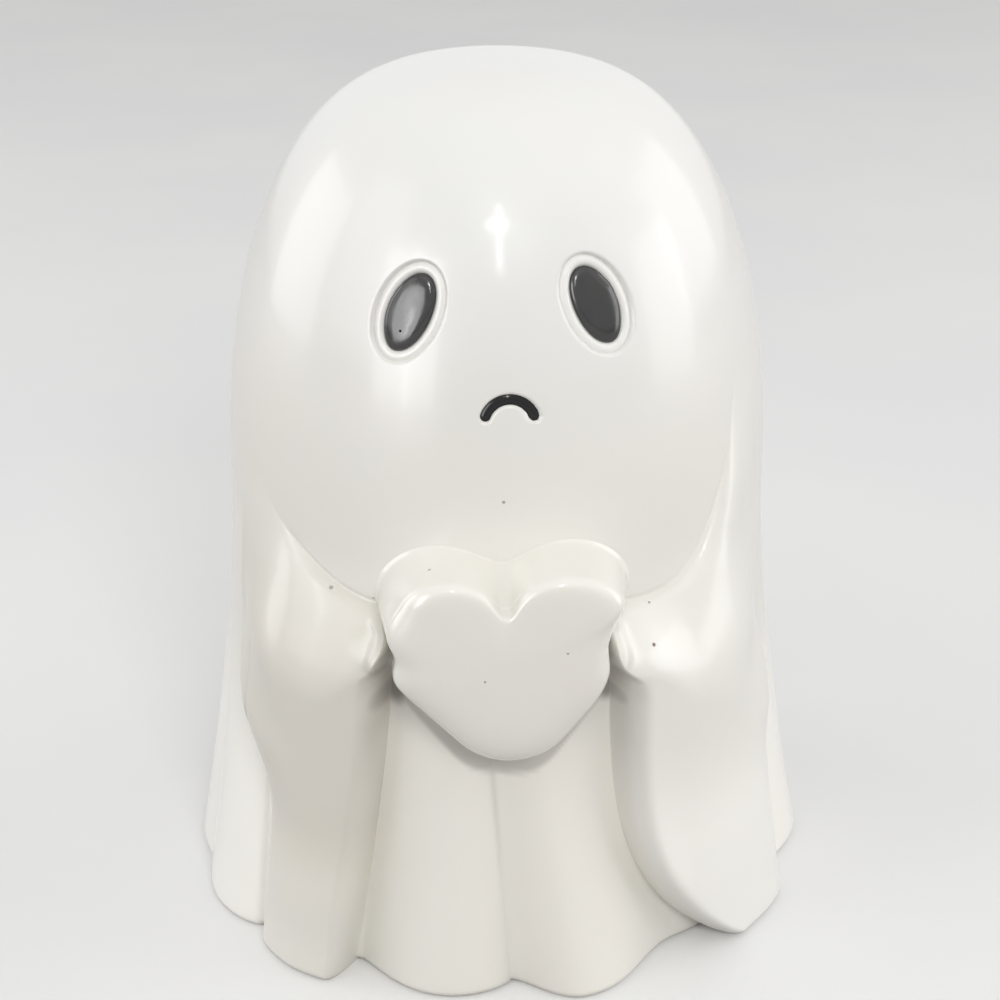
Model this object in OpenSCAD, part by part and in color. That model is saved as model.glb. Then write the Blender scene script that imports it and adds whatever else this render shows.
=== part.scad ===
// Ceramic ghost figure: a glazed, hollow cast cloak with draped sleeves that hold a heart.
// Millimetres, +Z up. The figure faces -Y and stands with the middle of its foot at the origin.
// Right and left are the figure's own, so its right is at -X.

/* [Cloak] */
// Height of the figure
figure_height = 120; // [110:1:135]
// Width of the head where it is widest
head_width = 75.2; // [70:0.2:80]
// Width of the cloak at the hem, over the crests of the folds
hem_width = 91; // [84:0.2:98]
// Depth of the cloak as a share of its width
cloak_depth_share = 0.93; // [0.88:0.01:1]
// Height at which the sides start to round over into the dome
dome_start = 62; // [58:1:66]
// How late the sides flare out: larger keeps them straight for longer
flare_power = 1.47; // [1.2:0.05:1.8]
// Fullness of the dome's shoulders
dome_power = 2.1; // [1.9:0.05:2.4]
// Roundness of the dome's crown
crown_power = 3; // [2.6:0.1:3.4]
// Thickness of the cast wall
cloak_wall = 3.6; // [2.5:0.1:4.5]
// Radius of the rounded hem
hem_round = 1.2; // [0.6:0.1:1.8]

/* [Folds] */
// Height at which the folds of the skirt have faded out
fold_top = 58; // [50:1:66]
// How late the folds deepen on their way down
fold_power = 1.2; // [1:0.05:1.6]

/* [Sleeves] */
// Thickness of a sleeve where it hangs from the hand
sleeve_thickness = 6.6; // [5:0.1:8]
// Least thickness of a sleeve at its edges
sleeve_lip = 0.5; // [0.4:0.05:0.8]
// Height of the crease between hand and chest
crease_height = 55.8; // [52:0.2:58]
// Rise of that crease from the left hand to the shoulder
shoulder_rise = 22.6; // [18:0.2:26]
// Height at which the sleeves have merged into the head
shoulder_height = 84; // [78:1:88]
// Height up to which a sleeve's inner edge sweeps outwards on its way down
sweep_height = 45; // [40:1:50]
// Height up to which a sleeve's outer edge flares on its way down
flare_height = 28; // [22:1:34]
// Depth over which the top of the arm rounds over
arm_round = 16; // [12:1:20]
// Width over which a sleeve rounds down to its outer edge
drape_round = 10; // [7:0.5:12]

/* [Heart] */
// Radius of each lobe of the heart
heart_lobe_radius = 9; // [8:0.1:10]
// Distance between the middles of the two lobes
heart_lobe_spacing = 15; // [13:0.2:17]
// Height of the middles of the lobes
heart_lobe_height = 56.3; // [54:0.1:58]
// Radius of the heart's rounded tip
heart_tip_radius = 9; // [7:0.1:10]
// Drop from the middles of the lobes to the middle of the tip
heart_drop = 8.3; // [6:0.1:10]
// How far the heart stands out from the chest
heart_thickness = 10.5; // [8:0.1:12]
// How far the heart leans, in degrees
heart_lean = 2.5; // [0:0.5:4]

/* [Face] */
// Distance between the middles of the eyes
eye_spacing = 23.4; // [20:0.1:26]
// Sideways place of the middle between the eyes
eye_middle = -0.2; // [-1:0.1:1]
// Height of the eyes
eye_height = 94.9; // [90:0.1:98]
// How far the line through the eyes leans, in degrees
face_lean = 1.75; // [0:0.25:3]
// Lean of each eye towards the middle, in degrees
eye_lean = 21; // [0:1:25]
// Length of the black oval
eye_length = 10.2; // [8:0.1:11]
// Width of the black oval
eye_width = 5.6; // [5:0.1:7.5]
// Width of the white rim round the black oval
rim_band = 1.6; // [1.2:0.1:2]
// Depth of the socket behind the rim
socket_depth = 1.9; // [1.6:0.1:2.2]
// Thickness of the rim
rim_thickness = 1.2; // [0.8:0.1:1.5]
// How far the black oval domes out over its edge
eye_bulge = 0.9; // [0.5:0.1:1.4]
// Height of the middle of the mouth's arc
mouth_height = 81.3; // [78:0.1:84]
// Sideways place of the mouth
mouth_place = 0.5; // [-1:0.1:1]
// Radius of the mouth's arc
mouth_radius = 3.2; // [2.6:0.1:4]
// Sweep of the mouth's arc, in degrees
mouth_sweep = 140; // [90:5:150]
// Width of the mouth's groove
mouth_width = 1.6; // [1:0.05:1.8]
// Depth of the mouth's groove
mouth_depth = 1.1; // [0.8:0.1:1.4]
// How far the enamel lies below the glaze
mouth_recess = 0.4; // [0.2:0.05:0.6]

/* [Foot] */
// Thickness of the base plate
base_thickness = 4; // [3:0.5:6]
// Diameter of the vent hole in the base plate
vent_diameter = 8; // [6:0.5:12]
// Distance of the vent hole behind the middle of the foot
vent_offset = 12; // [8:1:20]
// Clearance round the base plate
base_clearance = 0.2; // [0.1:0.05:0.4]

/* [Hidden] */

// Clearance between pieces that are set against each other with slip or glaze
seam = 0.1;
// Clearance between a hand and the heart's side
hand_gap = 0.6;
// Overrun of the cuts
overrun = 3;
// Steps over which the slope of the cloak is measured, upwards and in degrees round it
probe = 0.05;
probe_angle = 1;

head_half = head_width / 2;
hem_half = hem_width / 2;
dome_rise = figure_height - dome_start;
heart_lobe_half = heart_lobe_spacing / 2;
heart_tip_height = heart_lobe_height - heart_drop;
heart_middle_share = 0.4;
heart_middle = heart_lobe_height - heart_drop * heart_middle_share;

// One fold a row: angle of the valley at the hem, depth share of the valley,
// sharpness after it, angle of the crest, depth share of the crest, sharpness before
// the next valley, lean of the valley in degrees up to fold_top. Angles run from the
// front, positive towards +X.
fold_shares = [
    [-180, 0.07, 0.9, -163, 0.01, 0.9, 0],
    [-146, 0.08, 0.9, -129, 0.01, 0.9, 2],
    [-113, 0.07, 0.9, -97, -0.011, 1.2, 0],
    [-81, 0.03, 1.5, -66, -0.005, 0.5, 4],
    [-54, 0.055, 1, -42, 0.105, 1, 0],
    [-30, 0.119, 1.3, -12, 0.0145, 0.7, 6],
    [1, 0.11, 1.6, 13.5, -0.014, 2.2, -6.6],
    [38, 0.139, 1, 50, 0.125, 1.5, -14],
    [77, 0.051, 1, 94, -0.028, 0.9, -2],
    [113, 0.07, 0.9, 129, 0.01, 0.9, 0],
    [146, 0.08, 0.9, 163, 0.01, 0.9, 0],
    [180, 0.07, 0.9, 197, 0.01, 0.9, 0]];
fold_count = len(fold_shares) - 1;

// Places between a valley and a crest at which the cloak's columns stand
column_shares = [0, 0.12, 0.34, 0.64];
// Heights of the rings on the skirt, and angles of the rings on the dome
skirt_ring_shares = [0.06, 0.14, 0.24, 0.34, 0.44, 0.54, 0.66, 0.78, 0.9, 1];
dome_ring_angles = [10, 20, 29, 37, 45, 52, 59, 65, 71, 76, 80.5, 84.5, 87.5];
inner_skirt_shares = [0.2, 0.45, 0.7, 1];
inner_dome_angles = [18, 35, 50, 63, 74, 83];

function clamp(x) = min(1, max(0, x));
function smooth(x) = let (s = clamp(x)) s * s * (3 - 2 * s);
function mix(a, b, s) = a + (b - a) * s;
// A quarter of an ellipse: upright at 0, level at 1
function quarter(x) = let (s = clamp(x)) sqrt(1 - (1 - s) * (1 - s));

// Half the width of the cloak at a height, over the crests of the folds
function half_width(z) =
    (head_half + (hem_half - head_half) * pow(clamp(1 - z / dome_start), flare_power))
    * pow(1 - pow(clamp((z - dome_start) / dome_rise), dome_power), 1 / crown_power);

function fold_growth(z) = pow(clamp(1 - z / fold_top), fold_power);
function valley(i, z) = fold_shares[i][0] + fold_shares[i][6] * clamp(z / fold_top);
function crest(i, z) = fold_shares[i][3]
    + (fold_shares[i][6] + fold_shares[i + 1][6]) / 2 * clamp(z / fold_top);
function fold_at(t, z, i = 0) =
    i >= fold_count - 1 || t < valley(i + 1, z) ? i : fold_at(t, z, i + 1);
function lobe(s, top, bottom, sharpness) =
    top + (bottom - top) * (1 - pow(sin(90 * clamp(s)), sharpness));

// How deep the cloak's surface lies below the crests, as a share of the half width
function fold_depth(t, z) =
    let (i = fold_at(t, z), row = fold_shares[i], after = fold_shares[i + 1])
    let (a = valley(i, z), c = crest(i, z), b = valley(i + 1, z))
    fold_growth(z) * (t < c
        ? lobe((t - a) / (c - a), row[4], row[1], row[2])
        : lobe((b - t) / (b - c), row[4], after[1], row[5]));

// A point on the cloak at angle t and height z, moved outwards by out
function cloak_point(t, z, out = 0) =
    let (a = half_width(z) * (1 - fold_depth(t, z)))
    [(a + out) * sin(t), -(a * cloak_depth_share + out) * cos(t), z];

// A point on the cloak's front at a sideways place x, without folds
function front_angle(x, z) = asin(clamp(abs(x) / half_width(z))) * sign(x);
function front_depth(x, z) = -half_width(z) * cloak_depth_share * cos(front_angle(x, z));

// A solid between two points, through rings that all have as many points
module ringed_solid(first, rings, last) {
    count = len(rings[0]);
    levels = len(rings);
    points = concat([first], [for (r = rings) each r], [last]);
    end = len(points) - 1;
    faces = concat(
        [for (k = [0 : count - 1]) [0, 1 + k, 1 + (k + 1) % count]],
        [for (r = [0 : levels - 2], k = [0 : count - 1])
            let (a = 1 + r * count + k, b = 1 + r * count + (k + 1) % count)
            each [[a, a + count, b], [b, a + count, b + count]]],
        [for (k = [0 : count - 1])
            let (base = 1 + (levels - 1) * count)
            [end, base + (k + 1) % count, base + k]]);
    polyhedron(points, faces);
}

// A solid between two grids of points that have as many rows and columns
module sheet_solid(outer, inner) {
    rows = len(outer);
    cols = len(outer[0]);
    total = rows * cols;
    points = concat([for (r = outer) each r], [for (r = inner) each r]);
    rim = concat(
        [for (c = [0 : cols - 1]) c],
        [for (r = [1 : rows - 1]) r * cols + cols - 1],
        [for (c = [cols - 2 : -1 : 0]) (rows - 1) * cols + c],
        [for (r = [rows - 2 : -1 : 1]) r * cols]);
    faces = concat(
        [for (r = [0 : rows - 2], c = [0 : cols - 2])
            let (a = r * cols + c)
            each [[a, a + cols, a + 1], [a + 1, a + cols, a + cols + 1]]],
        [for (r = [0 : rows - 2], c = [0 : cols - 2])
            let (a = total + r * cols + c)
            each [[a, a + 1, a + cols], [a + 1, a + cols + 1, a + cols]]],
        [for (k = [0 : len(rim) - 1])
            let (a = rim[k], b = rim[(k + 1) % len(rim)])
            each [[a, b, a + total], [b, b + total, a + total]]]);
    polyhedron(points, faces);
}

// Angles of the cloak's columns at a height: they follow the valleys and crests
function column_angles(z) = [for (i = [0 : fold_count - 1])
    let (a = valley(i, z), c = crest(i, z), b = valley(i + 1, z))
    each concat(
        [for (s = column_shares) mix(a, c, s)],
        [c],
        [for (k = [len(column_shares) - 1 : -1 : 1]) mix(b, c, column_shares[k])])];

function outer_ring(z, inset = 0) = [for (t = column_angles(z)) cloak_point(t, z, -inset)];
function inner_ring(z, radius, level) = [for (t = column_angles(z))
    let (a = radius * (1 - fold_depth(t, z)) - cloak_wall)
    [a * sin(t), -((a + cloak_wall) * cloak_depth_share - cloak_wall) * cos(t), level]];

// The cast shell before the eyes and the mouth are cut
module cloak_shell() {
    rim_z = hem_round;
    outer_skirt = [for (s = skirt_ring_shares) mix(rim_z, dome_start, s)];
    outer_dome = [for (a = dome_ring_angles)
        dome_start + dome_rise * pow(sin(a), 2 / dome_power)];
    inner_top = figure_height - cloak_wall;
    foot = inner_ring(base_thickness, half_width(base_thickness), base_thickness);
    inner_dome = [for (k = [len(inner_dome_angles) - 1 : -1 : 0])
        let (a = inner_dome_angles[k])
        [for (t = column_angles(dome_start))
            let (r = (head_half - cloak_wall) * pow(cos(a), 2 / crown_power))
            let (q = (head_half * cloak_depth_share - cloak_wall) * pow(cos(a), 2 / crown_power))
            [r * sin(t), -q * cos(t),
                dome_start + (dome_rise - cloak_wall) * pow(sin(a), 2 / dome_power)]]];
    inner_skirt = [for (k = [len(inner_skirt_shares) - 1 : -1 : 0])
        let (z = mix(base_thickness, dome_start, inner_skirt_shares[k]))
        inner_ring(z, half_width(z), z)];
    foot_floor = [for (p = foot) [p[0], p[1], 0]];
    rings = concat(inner_dome, inner_skirt, [foot, foot_floor],
        [outer_ring(0, hem_round / 2), outer_ring(rim_z)],
        [for (z = outer_skirt) outer_ring(z)],
        [for (z = outer_dome) outer_ring(z)]);
    ringed_solid([0, 0, inner_top], rings, [0, 0, figure_height]);
}

// Places its children on the cloak at a sideways place and a height, with the local
// -Y direction pointing straight out of the surface
module on_face(x, z) {
    t = front_angle(x, z);
    across = cloak_point(t + probe_angle, z) - cloak_point(t - probe_angle, z);
    upward = cloak_point(t, z + probe) - cloak_point(t, z - probe);
    normal = cross(across, upward);
    out = normal / norm(normal);
    translate(cloak_point(t, z))
        rotate([0, 0, atan2(out[0], -out[1])])
            rotate([-asin(out[2]), 0, 0])
                children();
}

oval_points = 32;
oval_angles = [for (k = [0 : oval_points - 1]) 360 * k / oval_points];
function oval(length, width) = [for (a = oval_angles) [width / 2 * cos(a), length / 2 * sin(a)]];

// A flat oval plate from depth below the surface up to level, both counted outwards
module oval_plate(length, width, depth, level) {
    translate([0, depth, 0])
        rotate([90, 0, 0])
            linear_extrude(depth + level)
                polygon(oval(length, width));
}

// The frame of one eye: side is -1 for the figure's right and 1 for its left
module eye_place(side) {
    x = eye_middle + side * eye_spacing / 2;
    on_face(x, eye_height + x * tan(face_lean))
        rotate([0, side * -eye_lean, 0])
            children();
}

rim_length = eye_length + 2 * rim_band;
rim_width = eye_width + 2 * rim_band;

module eye_socket(side) {
    eye_place(side)
        oval_plate(rim_length, rim_width, socket_depth, overrun);
}

module eye_rim(side) {
    eye_place(side)
        difference() {
            oval_plate(rim_length - 2 * seam, rim_width - 2 * seam,
                socket_depth - seam, rim_thickness - socket_depth);
            oval_plate(eye_length, eye_width, socket_depth + overrun, overrun);
        }
}

// The black oval: an upright edge with a dome over it
module eye_dome(side) {
    width = eye_width - 2 * seam;
    length = eye_length - 2 * seam;
    seat = socket_depth - seam;
    edge = socket_depth - rim_thickness;
    lifts = [0, 12, 25, 40, 56, 74];
    function ring(share, depth) = [for (p = oval(length * share, width * share))
        [p[0], depth, p[1]]];
    eye_place(side)
        ringed_solid([0, seat, 0],
            concat([ring(1, seat)],
                [for (lift = lifts) ring(cos(lift), edge - eye_bulge * sin(lift))]),
            [0, edge - eye_bulge, 0]);
}

// The outline of the mouth: a band along an arc, with round ends
mouth_steps = 12;
mouth_end_angles = [30, 60, 90, 120, 150];
function mouth_outline(width) =
    let (r = width / 2, first = 90 + mouth_sweep / 2, last = 90 - mouth_sweep / 2)
    concat(
        [for (k = [0 : mouth_steps]) let (a = mix(first, last, k / mouth_steps))
            (mouth_radius + r) * [cos(a), sin(a)]],
        [for (turn = mouth_end_angles)
            mouth_radius * [cos(last), sin(last)] + r * [cos(last - turn), sin(last - turn)]],
        [for (k = [0 : mouth_steps]) let (a = mix(last, first, k / mouth_steps))
            (mouth_radius - r) * [cos(a), sin(a)]],
        [for (turn = mouth_end_angles)
            mouth_radius * [cos(first), sin(first)] - r * [cos(first - turn), sin(first - turn)]]);

module mouth_band(width, depth, level) {
    on_face(mouth_place, mouth_height)
        translate([0, depth, 0])
            rotate([90, 0, 0])
                linear_extrude(depth + level)
                    polygon(mouth_outline(width));
}

// Half the width of the heart at a height, from its lobe, its flank or its tip
lobe_to_tip = norm([heart_lobe_half, heart_drop]);
flank_angle = atan2(heart_drop, heart_lobe_half)
    - acos((heart_lobe_radius - heart_tip_radius) / lobe_to_tip);
flank_top = [heart_lobe_half + heart_lobe_radius * cos(flank_angle),
    heart_lobe_height + heart_lobe_radius * sin(flank_angle)];
flank_foot = [heart_tip_radius * cos(flank_angle),
    heart_tip_height + heart_tip_radius * sin(flank_angle)];

function arc_reach(radius, rise) = sqrt(max(0, radius * radius - rise * rise));
function heart_half_width(z) =
    z > flank_top[1] ? heart_lobe_half + arc_reach(heart_lobe_radius, z - heart_lobe_height)
    : z < flank_foot[1] ? arc_reach(heart_tip_radius, z - heart_tip_height)
    : mix(flank_foot[0], flank_top[0],
        (z - flank_foot[1]) / (flank_top[1] - flank_foot[1]));

// Where a hand draws a flank in, one row for the figure's right and one for its left:
// depth, reach below and reach above, as shares of the lobe radius
pinch_shares = [[0.222, 0.311, 0.333], [0.4, 0.533, 0.378]];
// Height of the pinch from the middles of the lobes down, reach over which it weakens
// above that at the chest, and how much it weakens, as shares
pinch_place_shares = [0.189, 0.267, 0.65];
// How much further the front edge is drawn in: height over the middles of the lobes, depth,
// reach below and reach above, as shares of the lobe radius
front_pinch_shares = [[0.556, 0.311, 0.5, 0.378], [0.222, 0.289, 0.289, 0.267]];
// Share of the thickness at which the flanks have their full pinch
pinch_depth_share = 0.6;

function bump_between(x, below, above) = exp(-pow(x / (x < 0 ? below : above), 2));
// How far a flank is drawn in; depth runs from 0 at the chest to 1 at the face
function heart_pinch(z, side, depth = 0) =
    let (row = pinch_shares[side] * heart_lobe_radius)
    let (more = front_pinch_shares[side] * heart_lobe_radius)
    let (x = z - heart_lobe_height + pinch_place_shares[0] * heart_lobe_radius)
    let (lobes = smooth(x / (pinch_place_shares[1] * heart_lobe_radius))
        * (1 - smooth(depth / pinch_depth_share)))
    row[0] * bump_between(x, row[1], row[2]) * (1 - pinch_place_shares[2] * lobes)
        + more[1] * depth * depth
            * bump_between(z - heart_lobe_height - more[0], more[2], more[3]);
// How far the leaning heart reaches sideways at a height, under the hand
heart_reach = heart_lobe_half + heart_lobe_radius;
function heart_flank(z, side) =
    let (level = z + (side == 0 ? 1 : -1) * heart_reach * tan(heart_lean))
    heart_half_width(level) - heart_pinch(level, side);

// Half of the heart's outline, from the rounded notch over the lobe and down to the tip
notch_angle = acos(-heart_lobe_half / heart_lobe_radius);
notch_round_share = 0.122;
notch_round = notch_round_share * heart_lobe_radius;
notch_rise = arc_reach(heart_lobe_radius, heart_lobe_half - notch_round);
notch_sag = (heart_lobe_half - notch_round) / notch_rise * notch_round / 2;
// Rise of the notch at the chest, its drop from there to the face, and its reach, as shares
// of the lobe radius
notch_shares = [0.1, 0.278, 0.211];
lobe_steps = 15;
tip_steps = 6;
heart_side = concat(
    [for (k = [0 : lobe_steps]) let (a = mix(notch_angle, flank_angle, k / lobe_steps))
        let (x = heart_lobe_half + heart_lobe_radius * cos(a))
        [x, heart_lobe_height + (x < notch_round
            ? notch_rise - notch_sag * (1 - pow(x / notch_round, 2))
            : heart_lobe_radius * sin(a))]],
    [(flank_top + flank_foot) / 2],
    [for (k = [0 : tip_steps]) let (a = mix(flank_angle, -90, k / tip_steps))
        [heart_tip_radius * cos(a), heart_tip_height + heart_tip_radius * sin(a)]]);
heart_outline = concat(heart_side,
    [for (k = [len(heart_side) - 2 : -1 : 1]) [-heart_side[k][0], heart_side[k][1]]]);

// A point of the outline, drawn in by the hands, shrunk to a share about the heart's middle
// and leaned; depth runs from 0 at the chest to 1 at the face
function heart_point(p, share, depth) =
    let (flank = pow(min(1, abs(p[0]) / max(notch_round, heart_half_width(p[1]))), 3))
    let (pinch = heart_pinch(p[1], p[0] < 0 ? 0 : 1, depth) * flank)
    let (x = (p[0] - sign(p[0]) * pinch) * share)
    let (notch = p[1] < heart_lobe_height ? 0
        : (notch_shares[0] - notch_shares[1] * depth) * heart_lobe_radius * pow(share, 4)
            * exp(-pow(p[0] / (notch_shares[2] * heart_lobe_radius), 2)))
    let (rise = (p[1] + notch - heart_middle) * share)
    [x * cos(heart_lean) - rise * sin(heart_lean),
        heart_middle + rise * cos(heart_lean) + x * sin(heart_lean)];
function heart_ring(share, depth) = [for (k = [len(heart_outline) - 1 : -1 : 0])
    heart_point(heart_outline[k], share, depth)];

// Sleeves: each table has one row for the figure's right and one for its left.
// Angle of the inner edge at the hand, degrees that it sweeps out at the hem, power of that
// sweep, angle of the outer edge low down, degrees that it moves back higher up, degrees
// that it flares at the hem
sleeve_angles = [
    [23, 8.4, 1.3, 49, 20.5, 2],
    [21.1, 26, 3.35, 62.8, 7.2, 5]];
// Heights between which the outer edge moves back, as shares of dome_start
outer_edge_shares = [[0.355, 0.84], [0.4, 0.88]];
// Share of shoulder_rise that the crease climbs, degrees it takes and power of the climb
crease_shares = [[0.376, 26, 1.66], [1, 29.5, 2.6]];
crease_angle = 26;
hand_angle = 26.9;
shoulder_angle = 70;
// Width over which the inner side rises at the hand, lower down and at the hem, as shares
// of the thickness, and how square that rise is
side_face_shares = [[0.45, 0.33, 0.21], [0.45, 0.52, 0.27]];
side_face_power = 2.4;
// Step at the outer edge, higher up and at the hem, as shares of the thickness
edge_step_shares = [[0.16, 0.2], [0.18, 0.38]];
edge_round_share = 0.076;
edge_round = edge_round_share * sleeve_thickness;
// Angles over which the crease softens towards the shoulder, the step below the crease at
// both ends, how wide that step rounds over at both ends, and how flat the soft end becomes
soft_angles = [[40, 56], [32, 52]];
crease_step_shares = [[0.14, 0], [0.14, 0.36]];
flat_shares = [0.4, 0];
crease_round_shares = [0.106, 0.56];
// Heights between which a sleeve merges into the head, as shares of shoulder_height
merge_shares = [[0.69, 0.929], [0.786, 1]];
// Heights between which the hand begins, and over which the step at the outer edge fades
// out, as shares of crease_height
hand_shares = [0.75, 0.9];
step_end_shares = [0.6, 0.88];
// How much thinner a sleeve is round the side, at the hem and towards the shoulder
side_thinning = 0.15;
side_angles = [36, 66];
hem_thinning = 0.05;
shoulder_thinning = 0.5;
shoulder_angles = [34, 58];
// Reach of the round arm and of its flat form below the crease, as shares of arm_round
arm_shares = [0.85, 1.125];
// Heights between which a hand leaves its drape for the heart's flank, between which its
// side narrows, and between which its rim rises, as shares of crease_height
held_shares = [[0.853, 0.941], [0.842, 0.935]];
grip_shares = [[0.789, 0.939], [0.78, 0.932]];
rim_height_shares = [0.806, 0.959];
// How much the side of the hand narrows there, and the height and reach of the hand's rim
// against the heart as shares of the thickness
grip_thinning = 0.85;
rim_shares = [0.29, 0.23];
// Reach of the round arm at the hand as a share of arm_round, and where it ends
hand_arm_share = 0.5;
hand_arm_angles = [24, 36];
sleeve_columns = 18;
sleeve_row_shares = [0, 0.06, 0.13, 0.21, 0.29, 0.37, 0.45, 0.53, 0.6, 0.67, 0.73, 0.785,
    0.83, 0.87, 0.905, 0.935, 0.96, 0.98, 0.993, 1];

// How far x is on its way between two ends, eased at both
function between(x, ends) = smooth((x - ends[0]) / (ends[1] - ends[0]));

function crease_line(t, side) =
    let (row = crease_shares[side])
    crease_height + shoulder_rise * row[0] * pow(max(0, t - crease_angle) / row[1], row[2]);
// Distance below the crease, square to it
function crease_distance(t, z, side) =
    let (rise = crease_line(t + probe_angle, side) - crease_line(t - probe_angle, side))
    let (run = 2 * probe_angle * head_half * PI / 180)
    (crease_line(t, side) - z) / norm([1, rise / run]);
function sleeve_top(u, side) =
    min(shoulder_height, crease_line(mix(hand_angle, shoulder_angle, u), side));

function inner_edge(z, side) =
    let (row = sleeve_angles[side])
    let (drape = row[0] + row[1] * pow(clamp(1 - z / sweep_height), row[2]))
    let (level = max(heart_tip_height, min(z, crease_height)), flank = heart_flank(level, side))
    let (hand = front_angle(flank + hand_gap, level))
    max(mix(drape, hand, between(z, held_shares[side] * crease_height)),
        front_angle(flank + hand_gap / 2, level));
function outer_edge(z, side) =
    let (row = sleeve_angles[side])
    row[3] + row[4] * between(z, outer_edge_shares[side] * dome_start)
        + row[5] * clamp(1 - z / flare_height);

// How far a sleeve stands out at angle t and height z: one share for each of its edges
function rise_from_inner(t, z, side) =
    let (faces = side_face_shares[side] * sleeve_thickness)
    let (lower = mix(faces[1], faces[2], smooth(1 - z / arm_round)))
    let (upper = mix(lower, faces[0], between(z, hand_shares * crease_height)))
    let (face = upper * (1 - grip_thinning * between(z, grip_shares[side] * crease_height)))
    let (s = clamp((t - inner_edge(z, side)) * half_width(z) * PI / 180 / face))
    pow(1 - pow(1 - s, side_face_power), 1 / side_face_power);
function rise_from_outer(t, z, side) =
    let (d = (outer_edge(z, side) - t) * half_width(z) * PI / 180)
    let (ends = edge_step_shares[side])
    let (fade = between(z, step_end_shares * crease_height))
    let (step = mix(ends[0], ends[1], clamp(1 - z / flare_height)) * (1 - fade))
    mix(mix(quarter(d / drape_round), smooth(d / arm_round), fade), quarter(d / edge_round), step);
function rise_from_crease(t, z, side) =
    let (d = crease_distance(t, z, side), soft = between(t, soft_angles[side]))
    let (ends = crease_step_shares[side], step = mix(ends[0], ends[1], soft))
    let (reach = arm_round * mix(hand_arm_share, arm_shares[0], between(t, hand_arm_angles)))
    let (flat = smooth(d / (arm_shares[1] * arm_round)))
    let (arm = mix(sin(90 * clamp(d / reach)), flat, flat_shares[side] * soft))
    let (rounds = crease_round_shares * sleeve_thickness)
    mix(arm, quarter(d / mix(rounds[0], rounds[1], soft)), step);

function sleeve_out(t, z, side) =
    let (high = smooth((z - crease_height + drape_round) / arm_round))
    let (full = sleeve_thickness * (1 - side_thinning * between(t, side_angles))
        * (1 - hem_thinning * smooth(1 - z / arm_round))
        * (1 - shoulder_thinning * between(t, shoulder_angles) * high)
        * (1 - between(z, merge_shares[side] * shoulder_height)))
    let (gap = (t - inner_edge(z, side)) * half_width(z) * PI / 180)
    let (rim = rim_shares[0] * sleeve_thickness * exp(-pow(gap / (rim_shares[1] * sleeve_thickness), 2))
        * smooth((crease_height - z) / hem_round) * between(z, rim_height_shares * crease_height))
    sleeve_lip + (max(0, full - sleeve_lip) * rise_from_crease(t, z, side) + rim)
        * rise_from_inner(t, z, side) * rise_from_outer(t, z, side);

module sleeve(side) {
    mirror_sign = side == 0 ? -1 : 1;
    us = [for (k = [0 : sleeve_columns]) (1 - cos(180 * k / sleeve_columns)) / 2];
    function grid(full) = [for (v = sleeve_row_shares) [for (u = us)
        let (z = v * sleeve_top(u, side), t = mix(inner_edge(z, side), outer_edge(z, side), u))
        let (out = sleeve_out(t, z, side) - (v == 0 ? hem_round : 0))
        cloak_point(mirror_sign * t, z, seam + (full ? max(sleeve_lip, out) : 0))]];
    if (side == 0) sheet_solid(grid(false), grid(true));
    else sheet_solid(grid(true), grid(false));
}

module cloak_body() {
    color("ghostwhite")
        difference() {
            cloak_shell();
            eye_socket(-1);
            eye_socket(1);
            mouth_band(mouth_width, mouth_depth, overrun);
        }
}

module base_plate() {
    outline = [for (t = column_angles(base_thickness))
        let (z = base_thickness, inset = cloak_wall + base_clearance)
        let (a = half_width(z) * (1 - fold_depth(t, z)))
        [(a - inset) * sin(t), -(a * cloak_depth_share - inset) * cos(t)]];
    color("whitesmoke")
        difference() {
            linear_extrude(base_thickness) polygon(outline);
            translate([0, vent_offset, -overrun])
                cylinder(d = vent_diameter, h = base_thickness + 2 * overrun, $fn = 48);
        }
}

module right_sleeve() {
    color("ghostwhite") sleeve(0);
}

module left_sleeve() {
    color("ghostwhite") sleeve(1);
}

// The heart: a wall round it, an edge that is crisper at the top, and a slightly full face
module heart() {
    edge_powers = [8, 20];
    front_power = 2.1;
    edge_shares = [0.38, 0.2];
    crisp_shares = [-0.7, 0.744];
    fullness_share = 0.048;
    back_shares = [0.3, 0.6, 0.85, 1];
    wall_shares = [0.3, 0.6, 0.85];
    front_shares = [1, 0.993, 0.975, 0.945, 0.9, 0.82, 0.65, 0.35];
    front = front_depth(0, heart_middle) - heart_thickness;
    full = fullness_share * heart_thickness;
    points = [for (k = [len(heart_outline) - 1 : -1 : 0]) heart_outline[k]];
    function edge(p) = between(p[1] - heart_lobe_height, crisp_shares * heart_lobe_radius);
    function span(p) = mix(edge_shares[0], edge_shares[1], edge(p)) * heart_thickness - full;
    function back(p, s) = full * s * s + span(p) * (1 - pow(1
        - pow(s, mix(edge_powers[0], edge_powers[1], edge(p))), 1 / front_power));
    back_rings = [for (s = back_shares) [for (p = heart_ring(s, 0))
        [p[0], front_depth(p[0], p[1]) - seam, p[1]]]];
    wall_rings = [for (w = wall_shares) [for (p = points)
        let (q = heart_point(p, 1, w * (1 - (span(p) + full) / heart_thickness)))
        [q[0], mix(front_depth(q[0], q[1]) - seam, front + span(p) + full, w), q[1]]]];
    front_rings = [for (s = front_shares) [for (p = points)
        let (q = heart_point(p, s, 1 - back(p, s) / heart_thickness))
        [q[0], front + back(p, s), q[1]]]];
    color("antiquewhite")
        ringed_solid([0, front_depth(0, heart_middle) - seam, heart_middle],
            concat(back_rings, wall_rings, front_rings), [0, front, heart_middle]);
}

module right_eye_rim() {
    color("white") eye_rim(-1);
}

module left_eye_rim() {
    color("white") eye_rim(1);
}

module right_eye() {
    color("black") eye_dome(-1);
}

module left_eye() {
    color("black") eye_dome(1);
}

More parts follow.
